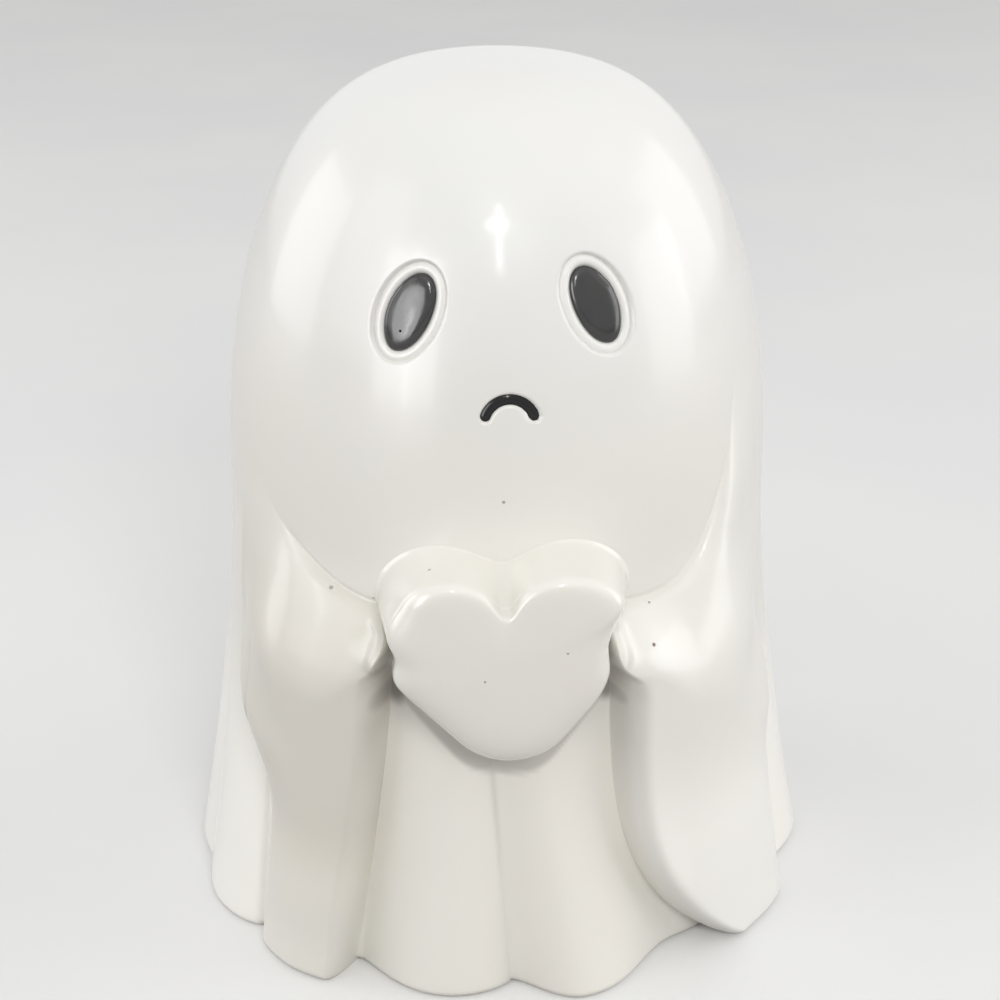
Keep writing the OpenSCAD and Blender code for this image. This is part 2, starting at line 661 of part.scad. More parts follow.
module mouth() {
    color("black") mouth_band(mouth_width - 2 * seam, mouth_depth - seam, -mouth_recess);
}

cloak_body();
base_plate();
right_sleeve();
left_sleeve();
heart();
right_eye_rim();
left_eye_rim();
right_eye();
left_eye();
mouth();
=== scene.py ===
import math

import bpy
import numpy as np
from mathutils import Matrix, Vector


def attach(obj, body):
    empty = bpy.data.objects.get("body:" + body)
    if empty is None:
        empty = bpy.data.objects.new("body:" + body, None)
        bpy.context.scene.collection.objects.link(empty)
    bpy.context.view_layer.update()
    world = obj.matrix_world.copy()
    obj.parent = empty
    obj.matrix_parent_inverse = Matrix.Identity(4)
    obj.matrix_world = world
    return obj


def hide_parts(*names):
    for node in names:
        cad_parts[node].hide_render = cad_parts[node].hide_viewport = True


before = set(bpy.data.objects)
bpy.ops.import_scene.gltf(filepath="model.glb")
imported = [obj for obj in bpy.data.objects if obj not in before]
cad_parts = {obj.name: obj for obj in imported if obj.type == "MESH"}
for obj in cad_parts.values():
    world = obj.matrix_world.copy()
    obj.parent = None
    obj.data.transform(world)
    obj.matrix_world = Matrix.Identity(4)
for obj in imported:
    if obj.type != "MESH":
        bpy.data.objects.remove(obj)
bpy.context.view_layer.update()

join = np.concatenate

MM = 0.001
TINY = 1e-9
# The figure's own right and left
SIDES = {-1: "right", 1: "left"}

# Sizes in millimetres and degrees, as in the part's own source
FIGURE_HEIGHT = 120.0
HEAD_HALF = 75.2 / 2
HEM_HALF = 91.0 / 2
DEPTH_SHARE = 0.93
DOME_START = 62.0
FLARE_POWER = 1.47
DOME_POWER = 2.1
CROWN_POWER = 3.0
CLOAK_WALL = 3.6
HEM_ROUND = 1.2
BASE_THICKNESS = 4.0
DOME_RISE = FIGURE_HEIGHT - DOME_START

FOLD_TOP = 58.0
FOLD_POWER = 1.2
# valley angle, valley depth, sharpness after, crest angle, crest depth,
# sharpness before the next valley, lean
FOLDS = [
    (-180, 0.07, 0.9, -163, 0.01, 0.9, 0),
    (-146, 0.08, 0.9, -129, 0.01, 0.9, 2),
    (-113, 0.07, 0.9, -97, -0.011, 1.2, 0),
    (-81, 0.03, 1.5, -66, -0.005, 0.5, 4),
    (-54, 0.055, 1, -42, 0.105, 1, 0),
    (-30, 0.119, 1.3, -12, 0.0145, 0.7, 6),
    (1, 0.11, 1.6, 13.5, -0.014, 2.2, -6.6),
    (38, 0.139, 1, 50, 0.125, 1.5, -14),
    (77, 0.051, 1, 94, -0.028, 0.9, -2),
    (113, 0.07, 0.9, 129, 0.01, 0.9, 0),
    (146, 0.08, 0.9, 163, 0.01, 0.9, 0),
    (180, 0.07, 0.9, 197, 0.01, 0.9, 0),
]
MIDDLE_FOLD = 6

CREASE_HEIGHT = 55.8
CREASE_ANGLE = 26.0
SHOULDER_TOP = 84.0
SLEEVE_THICKNESS = 6.6
SHOULDER_ANGLE = 70.0
# The crease that runs up from each hand to the shoulder: rise, span and power
CREASES = {-1: (8.5, 26.0, 1.66), 1: (22.6, 29.5, 2.6)}
CREASE_ARC_HEIGHT = 60.0

LOBE_RADIUS = 9.0
LOBE_HALF = 7.5
LOBE_HEIGHT = 56.3
TIP_RADIUS = 9.0
HEART_DROP = 8.3
HEART_THICKNESS = 10.5
HEART_LEAN = 2.5
NOTCH_ROUND = 1.1

EYE_SPACING = 23.4
EYE_MIDDLE = -0.2
EYE_HEIGHT = 94.9
FACE_LEAN = 1.75
EYE_LEAN = 21.0
EYE_LENGTH = 10.2
EYE_WIDTH = 5.6
RIM_BAND = 1.6
RIM_A = EYE_WIDTH / 2 + RIM_BAND
RIM_B = EYE_LENGTH / 2 + RIM_BAND
MOUTH_PLACE = 0.5
MOUTH_HEIGHT = 81.3
MOUTH_RADIUS = 3.2
MOUTH_SWEEP = 140.0
MOUTH_WIDTH = 1.6


def clamp(x):
    return np.clip(x, 0.0, 1.0)


def smooth(x):
    s = clamp(x)
    return s * s * (3 - 2 * s)


def rising(x, band):
    """From 0 to 1 over a band, which is given as its start and width."""
    start, width = band
    return smooth((x - start) / width)


def falling(x, band):
    """The same downwards from the band's start."""
    start, width = band
    return smooth((start - x) / width)


def mix(a, b, s):
    return a + (b - a) * s


def quarter(x):
    s = clamp(x)
    return np.sqrt(np.maximum(0.0, 1 - (1 - s) ** 2))


def bell(x):
    return np.exp(-(x**2))


# The cloak's surface
def half_width(z):
    z = np.asarray(z, float)
    lower = HEAD_HALF + (HEM_HALF - HEAD_HALF) * clamp(1 - z / DOME_START) ** FLARE_POWER
    rise = clamp((z - DOME_START) / DOME_RISE)
    return lower * np.maximum(0.0, 1 - rise**DOME_POWER) ** (1 / CROWN_POWER)


def arc_length(z):
    """Length of one degree round the cloak at a height."""
    return half_width(z) * math.pi / 180


def valley_angle(row, rise):
    return row[0] + row[6] * rise


def crest_angle(row, after, rise):
    return row[3] + 0.5 * (row[6] + after[6]) * rise


def fold_depth(t, z):
    t, z = np.broadcast_arrays(np.asarray(t, float), np.asarray(z, float))
    rise = clamp(z / FOLD_TOP)
    out = np.zeros(t.shape)
    for row, after in zip(FOLDS[:-1], FOLDS[1:]):
        a, b = valley_angle(row, rise), valley_angle(after, rise)
        c = crest_angle(row, after, rise)
        left = (t >= a) & (t < c)
        right = (t >= c) & (t < b)
        lobe = 1 - np.sin(math.pi / 2 * clamp((t - a) / (c - a))) ** row[2]
        out = np.where(left, row[4] + (row[1] - row[4]) * lobe, out)
        lobe = 1 - np.sin(math.pi / 2 * clamp((b - t) / (b - c))) ** row[5]
        out = np.where(right, row[4] + (after[1] - row[4]) * lobe, out)
    return out * clamp(1 - z / FOLD_TOP) ** FOLD_POWER


def cloak_point(t, z, out=0.0):
    t, z = np.broadcast_arrays(np.asarray(t, float), np.asarray(z, float))
    a = half_width(z) * (1 - fold_depth(t, z))
    r = np.radians(t)
    return np.stack([(a + out) * np.sin(r), -(a * DEPTH_SHARE + out) * np.cos(r), z], -1)


def chord(z, middle, radius):
    """Half width of a circle at a height."""
    return np.sqrt(np.maximum(0, radius**2 - (z - middle) ** 2))


def hem_inset(z):
    """How far the hem's rounding draws a surface in."""
    return np.where(z < HEM_ROUND, HEM_ROUND - chord(z, HEM_ROUND, HEM_ROUND), 0)


def hem_heights(rows):
    return HEM_ROUND * (1 - np.cos(np.radians(np.linspace(0, 90, rows))))


def crease_line(t, side):
    """Height of the crease at an angle, and how steeply it climbs there."""
    rise, span, power = CREASES[side]
    s = np.maximum(0, np.abs(t) - CREASE_ANGLE) / span
    slope = rise * power / span * s ** (power - 1) / arc_length(CREASE_ARC_HEIGHT)
    return CREASE_HEIGHT + rise * s**power, slope


def crease_distance(t, z, side):
    """Distance below the crease, square to it."""
    height, slope = crease_line(t, side)
    return (height - z) / np.sqrt(1 + slope**2)


# The groove along a crease: depth, place above it, reach, where it starts and ends
GROOVE_DEPTH = 0.32
GROOVE_PLACE = 0.2
GROOVE_REACH = 0.4
GROOVE_START = (20, 4)
GROOVE_ENDS = {-1: (42, 9), 1: (29, 10)}


def groove_depth(t, z):
    depths = {}
    for side, end in GROOVE_ENDS.items():
        away = (crease_distance(t, z, side) + GROOVE_PLACE) / GROOVE_REACH
        depths[side] = GROOVE_DEPTH * bell(away) * (1 - rising(side * t, end))
    return np.where(t < 0, depths[-1], depths[1]) * rising(np.abs(t), GROOVE_START)


# Steps for slopes: up, round in degrees, and along a normal
UP_STEP = 0.05
ANGLE_STEP = 1
NORMAL_STEP = 1e-3
SKIN_ROUNDS = 12


def skin_frame(x, z):
    """Centre and axes of a tangent frame on the front of the cloak."""
    t = math.degrees(math.asin(x / float(half_width(z))))
    across = cloak_point(t + ANGLE_STEP, z) - cloak_point(t - ANGLE_STEP, z)
    up = cloak_point(t, z + UP_STEP) - cloak_point(t, z - UP_STEP)
    n = np.cross(across, up)
    n = n / np.linalg.norm(n)
    ax = np.array([-n[1], n[0], 0.0])
    ax = ax / np.linalg.norm(ax)
    az = np.cross(n, ax)
    return cloak_point(t, z), ax, (-az if az[2] < 0 else az), n


def eye_frame(side):
    x = EYE_MIDDLE + side * EYE_SPACING / 2
    z = EYE_HEIGHT + x * math.tan(math.radians(FACE_LEAN))
    p, ax, az, n = skin_frame(x, z)
    lean = math.radians(-side * EYE_LEAN)
    c, s = math.cos(lean), math.sin(lean)
    return p, c * ax - s * az, s * ax + c * az, n


def above_skin(p):
    """Distance outside the unfolded cloak, measured level."""
    return np.hypot(p[..., 0], p[..., 1] / DEPTH_SHARE) - half_width(p[..., 2])


def to_skin(p, n):
    """Moves points along n until they lie on the unfolded cloak."""
    p = np.array(p, float)
    for _ in range(SKIN_ROUNDS):
        f = above_skin(p)
        slope = (above_skin(p + NORMAL_STEP * n) - f) / NORMAL_STEP
        p = p - (f / slope)[..., None] * n
    return p


def rim_distance(lx, lz):
    """Roughly how far a point lies outside the outer oval of an eye's rim."""
    k0 = np.hypot(lx / RIM_A, lz / RIM_B)
    k1 = np.hypot(lx / RIM_A**2, lz / RIM_B**2)
    return k0 * (k0 - 1) / np.maximum(k1, TINY)


def mouth_distance(lx, lz):
    """Distance from the centre line of the mouth's arc."""
    half = MOUTH_SWEEP / 2
    ex = MOUTH_RADIUS * math.sin(math.radians(half))
    ez = MOUTH_RADIUS * math.cos(math.radians(half))
    on_arc = np.abs(np.hypot(lx, lz) - MOUTH_RADIUS)
    ends = np.minimum(np.hypot(lx - ex, lz - ez), np.hypot(lx + ex, lz - ez))
    return np.where(np.abs(np.degrees(np.arctan2(lx, lz))) <= half, on_arc, ends)


# Mesh helpers
def turn(count):
    """Angles of the points round a ring."""
    return np.linspace(0, 2 * math.pi, count, endpoint=False)


def add_object(name, data):
    obj = bpy.data.objects.new(name, data)
    bpy.context.scene.collection.objects.link(obj)
    return obj


def new_piece(name, points, quads, tris=(), attributes=None):
    """Makes a mesh object from points in millimetres, with its faces turned outwards."""
    points = np.asarray(points, float)
    quads = np.asarray(quads, int).reshape(-1, 4)
    tris = np.asarray(tris, int).reshape(-1, 3)
    corners = points[join([quads[:, :3], quads[:, [0, 2, 3]], tris])]
    volumes = corners[:, 0] * np.cross(corners[:, 1], corners[:, 2])
    if volumes.sum() < 0:
        quads = quads[:, ::-1]
        tris = tris[:, ::-1]
    mesh = bpy.data.meshes.new(name)
    mesh.vertices.add(len(points))
    mesh.vertices.foreach_set("co", (points * MM).astype(np.float32).ravel())
    loops = join([quads.ravel(), tris.ravel()]).astype(np.int32)
    starts = join([np.arange(len(quads)) * 4, len(quads) * 4 + np.arange(len(tris)) * 3])
    mesh.loops.add(len(loops))
    mesh.loops.foreach_set("vertex_index", loops)
    mesh.polygons.add(len(quads) + len(tris))
    mesh.polygons.foreach_set("loop_start", starts.astype(np.int32))
    mesh.update(calc_edges=True)
    mesh.validate()
    for key, values in (attributes or {}).items():
        layer = mesh.attributes.new(key, "FLOAT", "POINT")
        layer.data.foreach_set("value", np.asarray(values, np.float32))
    mesh.shade_smooth()
    return add_object(name, mesh)


def ring_quads(rows, cols):
    """Quads between neighbours in a stack of closed rings."""
    r, c = np.meshgrid(np.arange(rows - 1), np.arange(cols), indexing="ij")
    a = r * cols + c
    b = r * cols + (c + 1) % cols
    return np.stack([a, a + cols, b + cols, b], -1).reshape(-1, 4)


def capped_piece(name, rings, first, last, attributes=None):
    """A closed piece from a stack of rings and the points that close its ends."""
    rows, cols = rings.shape[:2]
    start, end, base = rows * cols, rows * cols + 1, (rows - 1) * cols
    k = np.arange(cols)
    after = (k + 1) % cols
    tris = join([
        np.stack([np.full(cols, start), k, after], -1),
        np.stack([np.full(cols, end), base + after, base + k], -1),
    ])
    points = join([rings.reshape(-1, 3), [first, last]])
    return new_piece(name, points, ring_quads(rows, cols), tris, attributes)


def sheet_quads(rows, cols):
    """A closed sheet from an outer and an inner grid of the same size."""
    total = rows * cols
    r, c = np.meshgrid(np.arange(rows - 1), np.arange(cols - 1), indexing="ij")
    a = r * cols + c
    outer = np.stack([a, a + cols, a + cols + 1, a + 1], -1).reshape(-1, 4)
    inner = (outer + total)[:, ::-1]
    rim = join([
        np.arange(cols),
        np.arange(1, rows) * cols + cols - 1,
        (rows - 1) * cols + np.arange(cols - 2, -1, -1),
        np.arange(rows - 2, 0, -1) * cols,
    ])
    after = np.roll(rim, -1)
    side = np.stack([rim, after, after + total, rim + total], -1)
    return join([outer, inner, side])


# The heart's outline
LOBE_TO_TIP = math.hypot(LOBE_HALF, HEART_DROP)
FLANK = (math.atan2(HEART_DROP, LOBE_HALF)
         - math.acos((LOBE_RADIUS - TIP_RADIUS) / LOBE_TO_TIP))
TIP_HEIGHT = LOBE_HEIGHT - HEART_DROP
HEART_MIDDLE = (LOBE_HEIGHT + TIP_HEIGHT) / 2 + HEART_DROP / 10
LEAN_SLOPE = math.tan(math.radians(HEART_LEAN))


def heart_half_width(z):
    z = np.asarray(z, float)
    sin, cos = math.sin(FLANK), math.cos(FLANK)
    top, foot = LOBE_HEIGHT + LOBE_RADIUS * sin, TIP_HEIGHT + TIP_RADIUS * sin
    lobe = LOBE_HALF + chord(z, LOBE_HEIGHT, LOBE_RADIUS)
    tip = chord(z, TIP_HEIGHT, TIP_RADIUS)
    share = (z - foot) / (top - foot)
    flank = mix(TIP_RADIUS * cos, LOBE_HALF + LOBE_RADIUS * cos, share)
    return np.where(z > top, lobe, np.where(z < foot, tip, flank))


# Where a hand draws a flank in: depth, reach below and reach above
PINCH_HEIGHT = 54.6
PINCHES = {-1: (2.0, 2.8, 3.0), 1: (3.6, 4.8, 3.4)}
# The same for its front edge, with the height first
FRONT_PINCHES = {-1: (61.3, 2.8, 4.5, 3.4), 1: (58.3, 2.6, 2.6, 2.4)}
# How much fuller the lobes stay at the chest
LOBE_RISE = 2.4
LOBE_FRONT = 0.6
LOBE_EASE = 0.65


def bump_between(z, middle, below, above):
    return bell((z - middle) / np.where(z < middle, below, above))


def heart_pinch(z, side, front=0.0):
    """How far a flank is drawn in; front runs from 0 at the chest to 1 at the face."""
    deep, below, above = PINCHES[side]
    middle, more, under, over = FRONT_PINCHES[side]
    lobes = rising(z, (PINCH_HEIGHT, LOBE_RISE)) * (1 - smooth(front / LOBE_FRONT))
    return (deep * bump_between(z, PINCH_HEIGHT, below, above) * (1 - LOBE_EASE * lobes)
            + more * front**2 * bump_between(z, middle, under, over))


# Where the hands meet the flanks
FLANK_PLACE = 16.5
FLANK_LOW = 44
FLANK_HIGH = CREASE_HEIGHT + 1


def heart_flank(z, side):
    """How far the leaning heart reaches sideways at a height, under the hand."""
    level = np.clip(z, FLANK_LOW, FLANK_HIGH) - side * FLANK_PLACE * LEAN_SLOPE
    return heart_half_width(level) - heart_pinch(level, side)


# How the glaze looks: pool is cooler where the glaze gathers in the folds; tone is painted light
# and shade, lighter or darker by region as the light falls;
# warm is a painted warm cast of the light, yellower lower down and less so at the sides; shade is
# painted shade in joints, corners and folds
SKIRT_TONE = 1.01
LOW_SKIRT = (46, 12)
LOW_PAINTED_LIGHT = 0.08
LOW_PAINTED_WARMTH = 0.16
SIDE_ANGLE = (45, 10)
SIDE_HEIGHT = (42, 20)
SIDE_PAINTED_LIGHT = 0.12
SIDE_PAINTED_WARMTH = 0.25
CROWN_WARMTH = 0.1
CHEST_PAINTED_WARMTH = 0.42
CHEST_BAND = (104, 36)
CLOAK_POOL = 5
SLEEVE_POOL = 3
# On a sleeve: the value at the hand, then those further down with their bands
# Painted shade darkens the right sleeve at the hand, and painted light lightens both sleeves lower
# down
SLEEVE_PAINTED_TONES = {
    -1: (0.87, ((1.02, (26, 12)), (1.08, (9, 7)))),
    1: (1.01, ((1.19, (40, 20)),)),
}
# Painted warm light on the sleeves, in the same form
SLEEVE_PAINTED_WARMTHS = {-1: (1.0, ((0.7, (24, 18)),)), 1: (0.5, ((0.3, (40, 20)),))}
SLEEVE_BLEND = (52, 14)


def skirt_looks(t, z):
    """Painted light and shade (tone) and painted warm light (warmth) on the cloak itself."""
    low = falling(z, LOW_SKIRT)
    side = rising(np.abs(t), SIDE_ANGLE) * falling(z, SIDE_HEIGHT)
    tone = SKIRT_TONE + LOW_PAINTED_LIGHT * low + SIDE_PAINTED_LIGHT * side
    warm = (CROWN_WARMTH + CHEST_PAINTED_WARMTH * falling(z, CHEST_BAND)
            + LOW_PAINTED_WARMTH * low - SIDE_PAINTED_WARMTH * side)
    return tone, warm


def stepped(z, steps):
    value, changes = steps
    for following, band in changes:
        value = mix(value, following, falling(z, band))
    return value


def sleeve_looks(t, z, side):
    """Painted light and shade (tone) and painted warm light (warmth) on a sleeve."""
    over = rising(z, SLEEVE_BLEND)
    tone, warm = skirt_looks(t, z)
    return (mix(stepped(z, SLEEVE_PAINTED_TONES[side]), tone, over),
            mix(stepped(z, SLEEVE_PAINTED_WARMTHS[side]), warm, over))


def even_looks(tone, warm, shade):
    """The same glaze on every point of a piece, but for the shade."""
    same = np.ones(len(shade))
    return {"pool": 0 * same, "tone": tone * same, "warm": warm * same, "shade": shade}


# Shade in the middle fold: strength, reach, and bands at the foot and the top
FOLD_SHADE = 0.2
FOLD_SHADE_REACH = 0.45
FOLD_SHADE_FOOT = (14, 16)
FOLD_SHADE_TOP = (46, 4)
# Shade under the heart: its bands run down from the heart's edge
JOINT_SHADE = 0.5
JOINT_HALF = 13.0
JOINT_FADE = (13, 2)
JOINT_TOP = (-4, 2)
JOINT_FOOT = (5.4, 1.2)
JOINT_LEVELS = 80
# Painted shade in the corners between hand, heart and chest: place across, height, radius
SHADED_CREVICES = {-1: (-14.2, 44.7, 2.3), 1: (13.4, 44.4, 1.9)}
CREVICE_TALL = 1.5
CREVICE_CORE = 0.35


def fold_shade(t, z):
    """The shade that lies in the skirt's middle fold below the heart."""
    valley = valley_angle(FOLDS[MIDDLE_FOLD], clamp(z / FOLD_TOP))
    away = (t - valley) * arc_length(z) / FOLD_SHADE_REACH
    return FOLD_SHADE * bell(away) * rising(z, FOLD_SHADE_FOOT) * falling(z, FOLD_SHADE_TOP)


def heart_shade(p):
    """The shade in the joint under the heart and in the corners beside it."""
    x, z = p[..., 0], p[..., 2]
    span = np.clip(x, -JOINT_HALF, JOINT_HALF)
    levels = np.linspace(TIP_HEIGHT - TIP_RADIUS, PINCH_HEIGHT, JOINT_LEVELS)
    bottom = np.interp(np.abs(span), heart_half_width(levels), levels)
    drop = bottom + span * LEAN_SLOPE - z
    shade = JOINT_SHADE * rising(drop, JOINT_TOP) * (1 - rising(drop, JOINT_FOOT))
    shade = shade * (1 - rising(np.abs(x), JOINT_FADE))
    for across, height, radius in SHADED_CREVICES.values():
        away = np.hypot(x - across, (z - height) / CREVICE_TALL)
        band = (CREVICE_CORE * radius, (1 - CREVICE_CORE) * radius)
        shade = np.maximum(shade, 1 - rising(away, band))
    return shade * (p[..., 1] < 0)


# Rows of the cloak: the height that each group reaches, and its number of rows
CLOAK_ROWS = ((34, 44), (50, 56), (82, 130), (103, 100))
CLOAK_HEM_ROWS = 9
CROWN_ROWS = 46
CROWN_END = 89.6
INNER_ROWS = 14
INNER_DOME = (84, 6, 12)
# Columns on each side of a crest: their number, and how they crowd at the valley
FINE_CRESTS = (-56, 51)
FINE_COLUMNS = (34, 1.15)
PLAIN_COLUMNS = (16, 1.3)
# What is pressed into the face: reach across and up, depth, and the band of its edge
SOCKET = ((9, 10), 1.5, (-0.62, 0.75))
MOUTH_GROOVE = ((6, 6), 1.0, (0.36, 0.5))
FACE_DEPTH = 8


def cloak_columns(z):
    """Angles of the columns at heights z: they follow the valleys and crests."""
    rise = clamp(np.asarray(z, float) / FOLD_TOP)[:, None]
    parts = []
    for row, after in zip(FOLDS[:-1], FOLDS[1:]):
        a, b = valley_angle(row, rise), valley_angle(after, rise)
        c = crest_angle(row, after, rise)
        fine = FINE_CRESTS[0] < row[3] < FINE_CRESTS[1]
        count, crowding = FINE_COLUMNS if fine else PLAIN_COLUMNS
        s = (np.arange(count) / count) ** crowding
        parts.append(a + (c - a) * s[None, :])
        s = (np.arange(count, 0, -1) / count) ** crowding
        parts.append(b + (c - b) * s[None, :])
    return join(parts, 1)


def pressed(p, place, distance, dent):
    """Points pressed in round a tangent frame, by their distance from a form."""
    c, ax, az, n = place
    reach, depth, band = dent
    d = p - c
    lx, lz = d @ ax, d @ az
    near = (np.abs(lx) < reach[0]) & (np.abs(lz) < reach[1]) & (d @ n > -FACE_DEPTH)
    drop = depth * (1 - rising(distance(lx, lz), band))
    return p - (drop * near)[..., None] * n


def cloak_inside():
    """Rings of the inner face, from the top of the hollow down to the foot."""
    td = np.radians(cloak_columns(np.array([DOME_START]))[0])
    dome = []
    for ang in np.radians(np.linspace(*INNER_DOME)):
        k = math.cos(ang) ** (2 / CROWN_POWER)
        rx = (HEAD_HALF - CLOAK_WALL) * k
        ry = (HEAD_HALF * DEPTH_SHARE - CLOAK_WALL) * k
        h = DOME_START + (DOME_RISE - CLOAK_WALL) * math.sin(ang) ** (2 / DOME_POWER)
        dome.append(np.stack([rx * np.sin(td), -ry * np.cos(td), np.full(len(td), h)], -1))
    z = join([np.linspace(DOME_START, BASE_THICKNESS, INNER_ROWS), [0.0]])
    t = cloak_columns(z)
    zz = np.broadcast_to(z[:, None], t.shape)
    level = np.maximum(zz, BASE_THICKNESS)
    a = half_width(level) * (1 - fold_depth(t, level))
    r = np.radians(t)
    x = (a - CLOAK_WALL) * np.sin(r)
    y = -(a * DEPTH_SHARE - CLOAK_WALL) * np.cos(r)
    return join([np.array(dome), np.stack([x, y, zz], -1)])


def make_cloak():
    heights = [hem_heights(CLOAK_HEM_ROWS)]
    start = HEM_ROUND
    for end, count in CLOAK_ROWS:
        heights.append(np.linspace(start, end, count)[1:])
        start = end
    share = (start - DOME_START) / DOME_RISE
    a0 = math.degrees(math.asin(share ** (DOME_POWER / 2)))
    angles = np.radians(np.linspace(a0, CROWN_END, CROWN_ROWS)[1:])
    heights.append(DOME_START + DOME_RISE * np.sin(angles) ** (2 / DOME_POWER))
    z = join(heights)
    t = cloak_columns(z)
    zz = np.broadcast_to(z[:, None], t.shape)
    p = cloak_point(t, zz, -hem_inset(zz) - groove_depth(t, zz))
    for side in SIDES:
        p = pressed(p, eye_frame(side), rim_distance, SOCKET)
    p = pressed(p, skin_frame(MOUTH_PLACE, MOUTH_HEIGHT), mouth_distance, MOUTH_GROOVE)
    inner = cloak_inside()
    hidden = inner.shape[0] * inner.shape[1]

    def spread(outside, inside, first, last):
        """One value a point: on the inside, on the outside, and at the two end points."""
        return join([np.full(hidden, float(inside)), outside.ravel(), [first, last]])

    tone, warm = skirt_looks(t, zz)
    looks = {
        "pool": spread(fold_depth(t, zz) * CLOAK_POOL, 0, 0, 0),
        "tone": spread(tone, 1, 1, 1),
        "warm": spread(warm, 1, 1, CROWN_WARMTH),
        "shade": spread(np.maximum(heart_shade(p), fold_shade(t, zz)), 0, 0, 0),
    }
    top = [0, 0, FIGURE_HEIGHT - CLOAK_WALL]
    crown = [0, 0, FIGURE_HEIGHT]
    return capped_piece("cloak_glaze", join([inner, p]), top, crown, looks)


# The sleeves, one row a side:
# inner edge: angle at the hand, how far it sweeps back at the hem and with what power;
# outer edge: angle low down, how far it shifts back, heights of that, flare at the hem;
# face: width over which the inner side rises at the hand, lower down and at the hem;
# lip: share of the thickness at the outer edge, above and at the hem;
# held: heights between which the inner edge leaves the drape for the heart's flank;
# grip: heights between which the inner side narrows;
# soft: angles over which the crease softens, then its step and flatness there;
# merge: heights over which the sleeve runs out into the head
SLEEVES = {
    -1: dict(t_in=23.0, sweep=8.4, power=1.3, t_out=49.0, back=20.5, shift=(22.0, 52.0),
             flare=2.0, face=(3.0, 2.2, 1.4), lip=(0.16, 0.2), held=(47.6, 52.5),
             grip=(44.0, 52.4), soft=(40, 16), soft_step=0.0, flat=0.4, merge=(58, 20)),
    1: dict(t_in=21.1, sweep=26.0, power=3.35, t_out=62.8, back=7.2, shift=(24.8, 54.6),
            flare=5.0, face=(3.0, 3.4, 1.8), lip=(0.18, 0.38), held=(47.0, 52.2),
            grip=(43.5, 52.0), soft=(32, 20), soft_step=0.36, flat=0.0, merge=(66, 18)),
}
SWEEP_HEIGHT = 45.0
FLARE_HEIGHT = 28.0
HAND_OVERLAP = 0.9
# The inner side: height above which its edge counts as upright, the bands of its widths,
# and its form
SWEPT_TOP = 46
HAND_FACE = (42, 8)
HEM_FACE = 14
GRIP_THINNING = 0.85
FACE_POWER = 2.4
# The outer side: where its step fades out, and the reach of its round forms
STEP_END = (33, 16)
DRAPE_ROUND = 10.0
ARM_ROUND = 16.0
EDGE_ROUND = 0.5
# Below the crease: reach of the round arm, of its flat form, and the step at the crease
ARM_REACH = (8.0, 13.6)
ARM_ANGLES = (24, 12)
FLAT_REACH = 18
CREASE_STEP = 0.14
STEP_WIDTH = 0.7
STEP_SPREAD = 3
# Thinning towards the shoulder, round the side and at the hem
SHOULDER_THINNING = 0.5
SHOULDER_ANGLES = (34, 24)
SHOULDER_BAND = (46, 16)
SIDE_THINNING = 0.15
SIDE_ANGLES = (36, 30)
HEM_THINNING = 0.05
HEM_REACH = 16
# The rim that climbs where the hand lies against the heart: height and reach of its parts
HAND_RIMS = ((1.5, 1.1), (0.7, 2.4))
HAND_RIM_TOP = (CREASE_HEIGHT, 1.5)
HAND_RIM_FOOT = (45, 8.5)
# How the sheet lies on the cloak and dips in beyond its edges
SLEEVE_LIP = 0.04
DIP_SLOPE = 1.5
DIP_DEPTH = 0.7
SLEEVE_BACK = 1.0
HEM_REST = 0.5
# Columns from the inner to the outer edge, and rows upwards, as shares
NEAR = 3.0 / 32 * (np.arange(22) / 22) ** 2
FAR = 1 - 1.6 / 32 * (np.arange(14, -1, -1) / 14) ** 1.8
SLEEVE_COLUMNS = join([
    [-0.012, -0.004], NEAR, np.linspace(NEAR[-1] + 0.008, FAR[0] - 0.006, 120), FAR,
    1 + np.array([0.004, 0.012, 0.025])])
SLEEVE_ROWS = join([
    1 - (1 - np.linspace(0, 1, 294)) ** 1.35, 1 + np.array([0.003, 0.008, 0.015])])
SLEEVE_HEM_ROWS = 8
HAND_ANGLE = 27.0
# Shade on the inner side: strength, bands at its foot and top, and band into the depth
HAND_SHADE = (0.1, (44, 4), (53.5, 3), (3.5, 3))
WALL_SHADE = (0.16, (-1, 1), (50, 4), (3.2, 1.6))
CORNER_SHADE = 0.45
CORNER_DROP = 0.4
CORNER_STRETCH = (1.6, 1.4)
CORNER_BAND = (0.15, 0.6)


def angle_at(x, z):
    """The angle at which the cloak is as far out sideways as x."""
    return np.degrees(np.arcsin(np.clip(x / half_width(z), 0, 1)))


def between(z, ends):
    low, high = ends
    return smooth((z - low) / (high - low))


def inner_edge(z, side):
    row = SLEEVES[side]
    drape = row["t_in"] + row["sweep"] * clamp(1 - z / SWEEP_HEIGHT) ** row["power"]
    hand = angle_at(heart_flank(z, side) - HAND_OVERLAP, z)
    return mix(drape, hand, between(z, row["held"]))


def outer_edge(z, side):
    row = SLEEVES[side]
    return (row["t_out"] + row["back"] * between(z, row["shift"])
            + row["flare"] * clamp(1 - z / FLARE_HEIGHT))


def rise_from_inner(t, z, side):
    row = SLEEVES[side]
    hand, mid, hem = row["face"]
    arc = arc_length(z)
    run = inner_edge(z + UP_STEP, side) - inner_edge(z - UP_STEP, side)
    lean = np.where(z > SWEPT_TOP, 0, run / (2 * UP_STEP) * arc)
    distance = (t - inner_edge(z, side)) * arc / np.sqrt(1 + lean**2)
    face = mix(mix(mid, hand, rising(z, HAND_FACE)), hem, smooth(1 - z / HEM_FACE))
    face = face * (1 - GRIP_THINNING * between(z, row["grip"]))
    return (1 - (1 - clamp(distance / face)) ** FACE_POWER) ** (1 / FACE_POWER)


